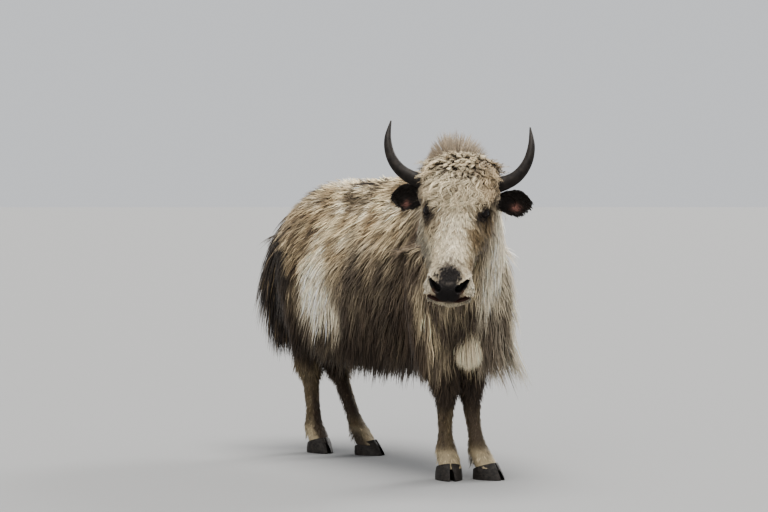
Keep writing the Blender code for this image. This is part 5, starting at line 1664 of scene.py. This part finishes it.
local = to_head(head_skin.centres)
face_weight = (bare(local) < 0.4) & (from_eyes(local, 0.014) > 0.019)
face_weight = face_weight * (1 + 0.8 * step(0.30, 0.42, local[:, 1]))
face_weight = face_weight * mix(1.0, 0.4, under_forelock(local))
FACE = Growth(steps=3, spacing=0.0065, spread=0.40, sunk=0.0012, shades=(0.30, 0.72, 1.0, 1.12))
coat("coat_face", "head", head_skin, 12400, face_weight, FACE, face_style, face_hair, head_unwrap, 120)
wide = np.abs(local[:, 0])
brow = (local[:, 1] < 0.155) & (local[:, 2] > -0.03)
brow = brow * step(0.175, 0.12, local[:, 1] + 0.30 * wide) * step(0.121, 0.104, wide)
BROW = Growth(steps=8, spacing=0.0130, spread=0.20, ragged=0.3, sunk=0.002, shades=(0.16, 0.48, 1.02, 1.15))
coat("coat_forelock", "head", head_skin, 4300, brow, BROW, forelock_style, forelock_hair, head_unwrap, 121)
EARS = Growth(steps=3, spacing=0.009, spread=0.4, sunk=0.001)
for seed, (name, ear) in enumerate(ear_skins.items(), 130):
    outer = ear_reach(ear.centres, name) > 0.0
    own = (ear_style(name), ear_hair(name), ear_unwrap(name))
    coat("coat_ear_" + name, "ear", ear, 1700, outer, EARS, *own, seed)


# Floor, light and camera


def floor(half=900.0, grey=0.238):
    """Plain floor, far wider than the view."""
    corners = [(x * half, y * half, 0.0) for x, y in ((-1, -1), (1, -1), (1, 1), (-1, 1))]
    data = bpy.data.meshes.new("floor")
    data.from_pydata(corners, [], [(0, 1, 2, 3)])
    made = bpy.data.objects.new("floor", data)
    bpy.context.scene.collection.objects.link(made)
    looks = {"Base Color": (grey, grey, grey, 1.0), "Roughness": 0.9}
    data.materials.append(fresh_material("floor", looks)[0])


def sun(name, source, strength, softness, colour):
    """Light from far off in the direction of the source, soft by its width in the sky, in degrees."""
    data = bpy.data.lights.new(name, "SUN")
    data.energy = strength
    data.angle = math.radians(softness)
    data.color = colour
    made = bpy.data.objects.new(name, data)
    bpy.context.scene.collection.objects.link(made)
    made.rotation_euler = Vector(source).to_track_quat("Z", "Y").to_euler()


floor()
sun("key", (-0.05, -0.15, 1.0), 4.6, 45, (1.0, 0.98, 0.94))
sun("rim", (0.95, 0.35, 0.55), 1.6, 20, (1.0, 0.99, 0.97))
sun("fill", (-0.8, -0.9, 0.7), 0.95, 50, (1.0, 0.99, 0.97))

world = bpy.data.worlds.new("studio")
world.use_nodes = True
set_values(world.node_tree.nodes["Background"], {"Color": (0.95, 0.97, 1.0, 1.0), "Strength": 0.64})
bpy.context.scene.world = world

FOCAL_PIXELS, IMAGE_WIDTH, HORIZON_OVER_MIDDLE = 2320, 768, 51
SENSOR = 36.0
CAMERA_PLACE = np.array((-4.0117, -6.863, 0.94))
TILT = math.atan(HORIZON_OVER_MIDDLE / FOCAL_PIXELS)
camera_data = bpy.data.cameras.new("camera")
camera_data.sensor_width = SENSOR
camera_data.lens = FOCAL_PIXELS / IMAGE_WIDTH * SENSOR
camera = bpy.data.objects.new("camera", camera_data)
bpy.context.scene.collection.objects.link(camera)
camera.location = CAMERA_PLACE + PLAN_TO_ROW
ahead = Vector((VIEW_X, VIEW_Y, 0.0)).normalized() * math.cos(TILT)
ahead -= Vector((0.0, 0.0, 1.0)) * math.sin(TILT)
camera.rotation_euler = ahead.to_track_quat("-Z", "Y").to_euler()
bpy.context.scene.camera = camera
bpy.context.scene.view_settings.view_transform = "AgX"
bpy.context.scene.view_settings.look = "AgX - Medium High Contrast"
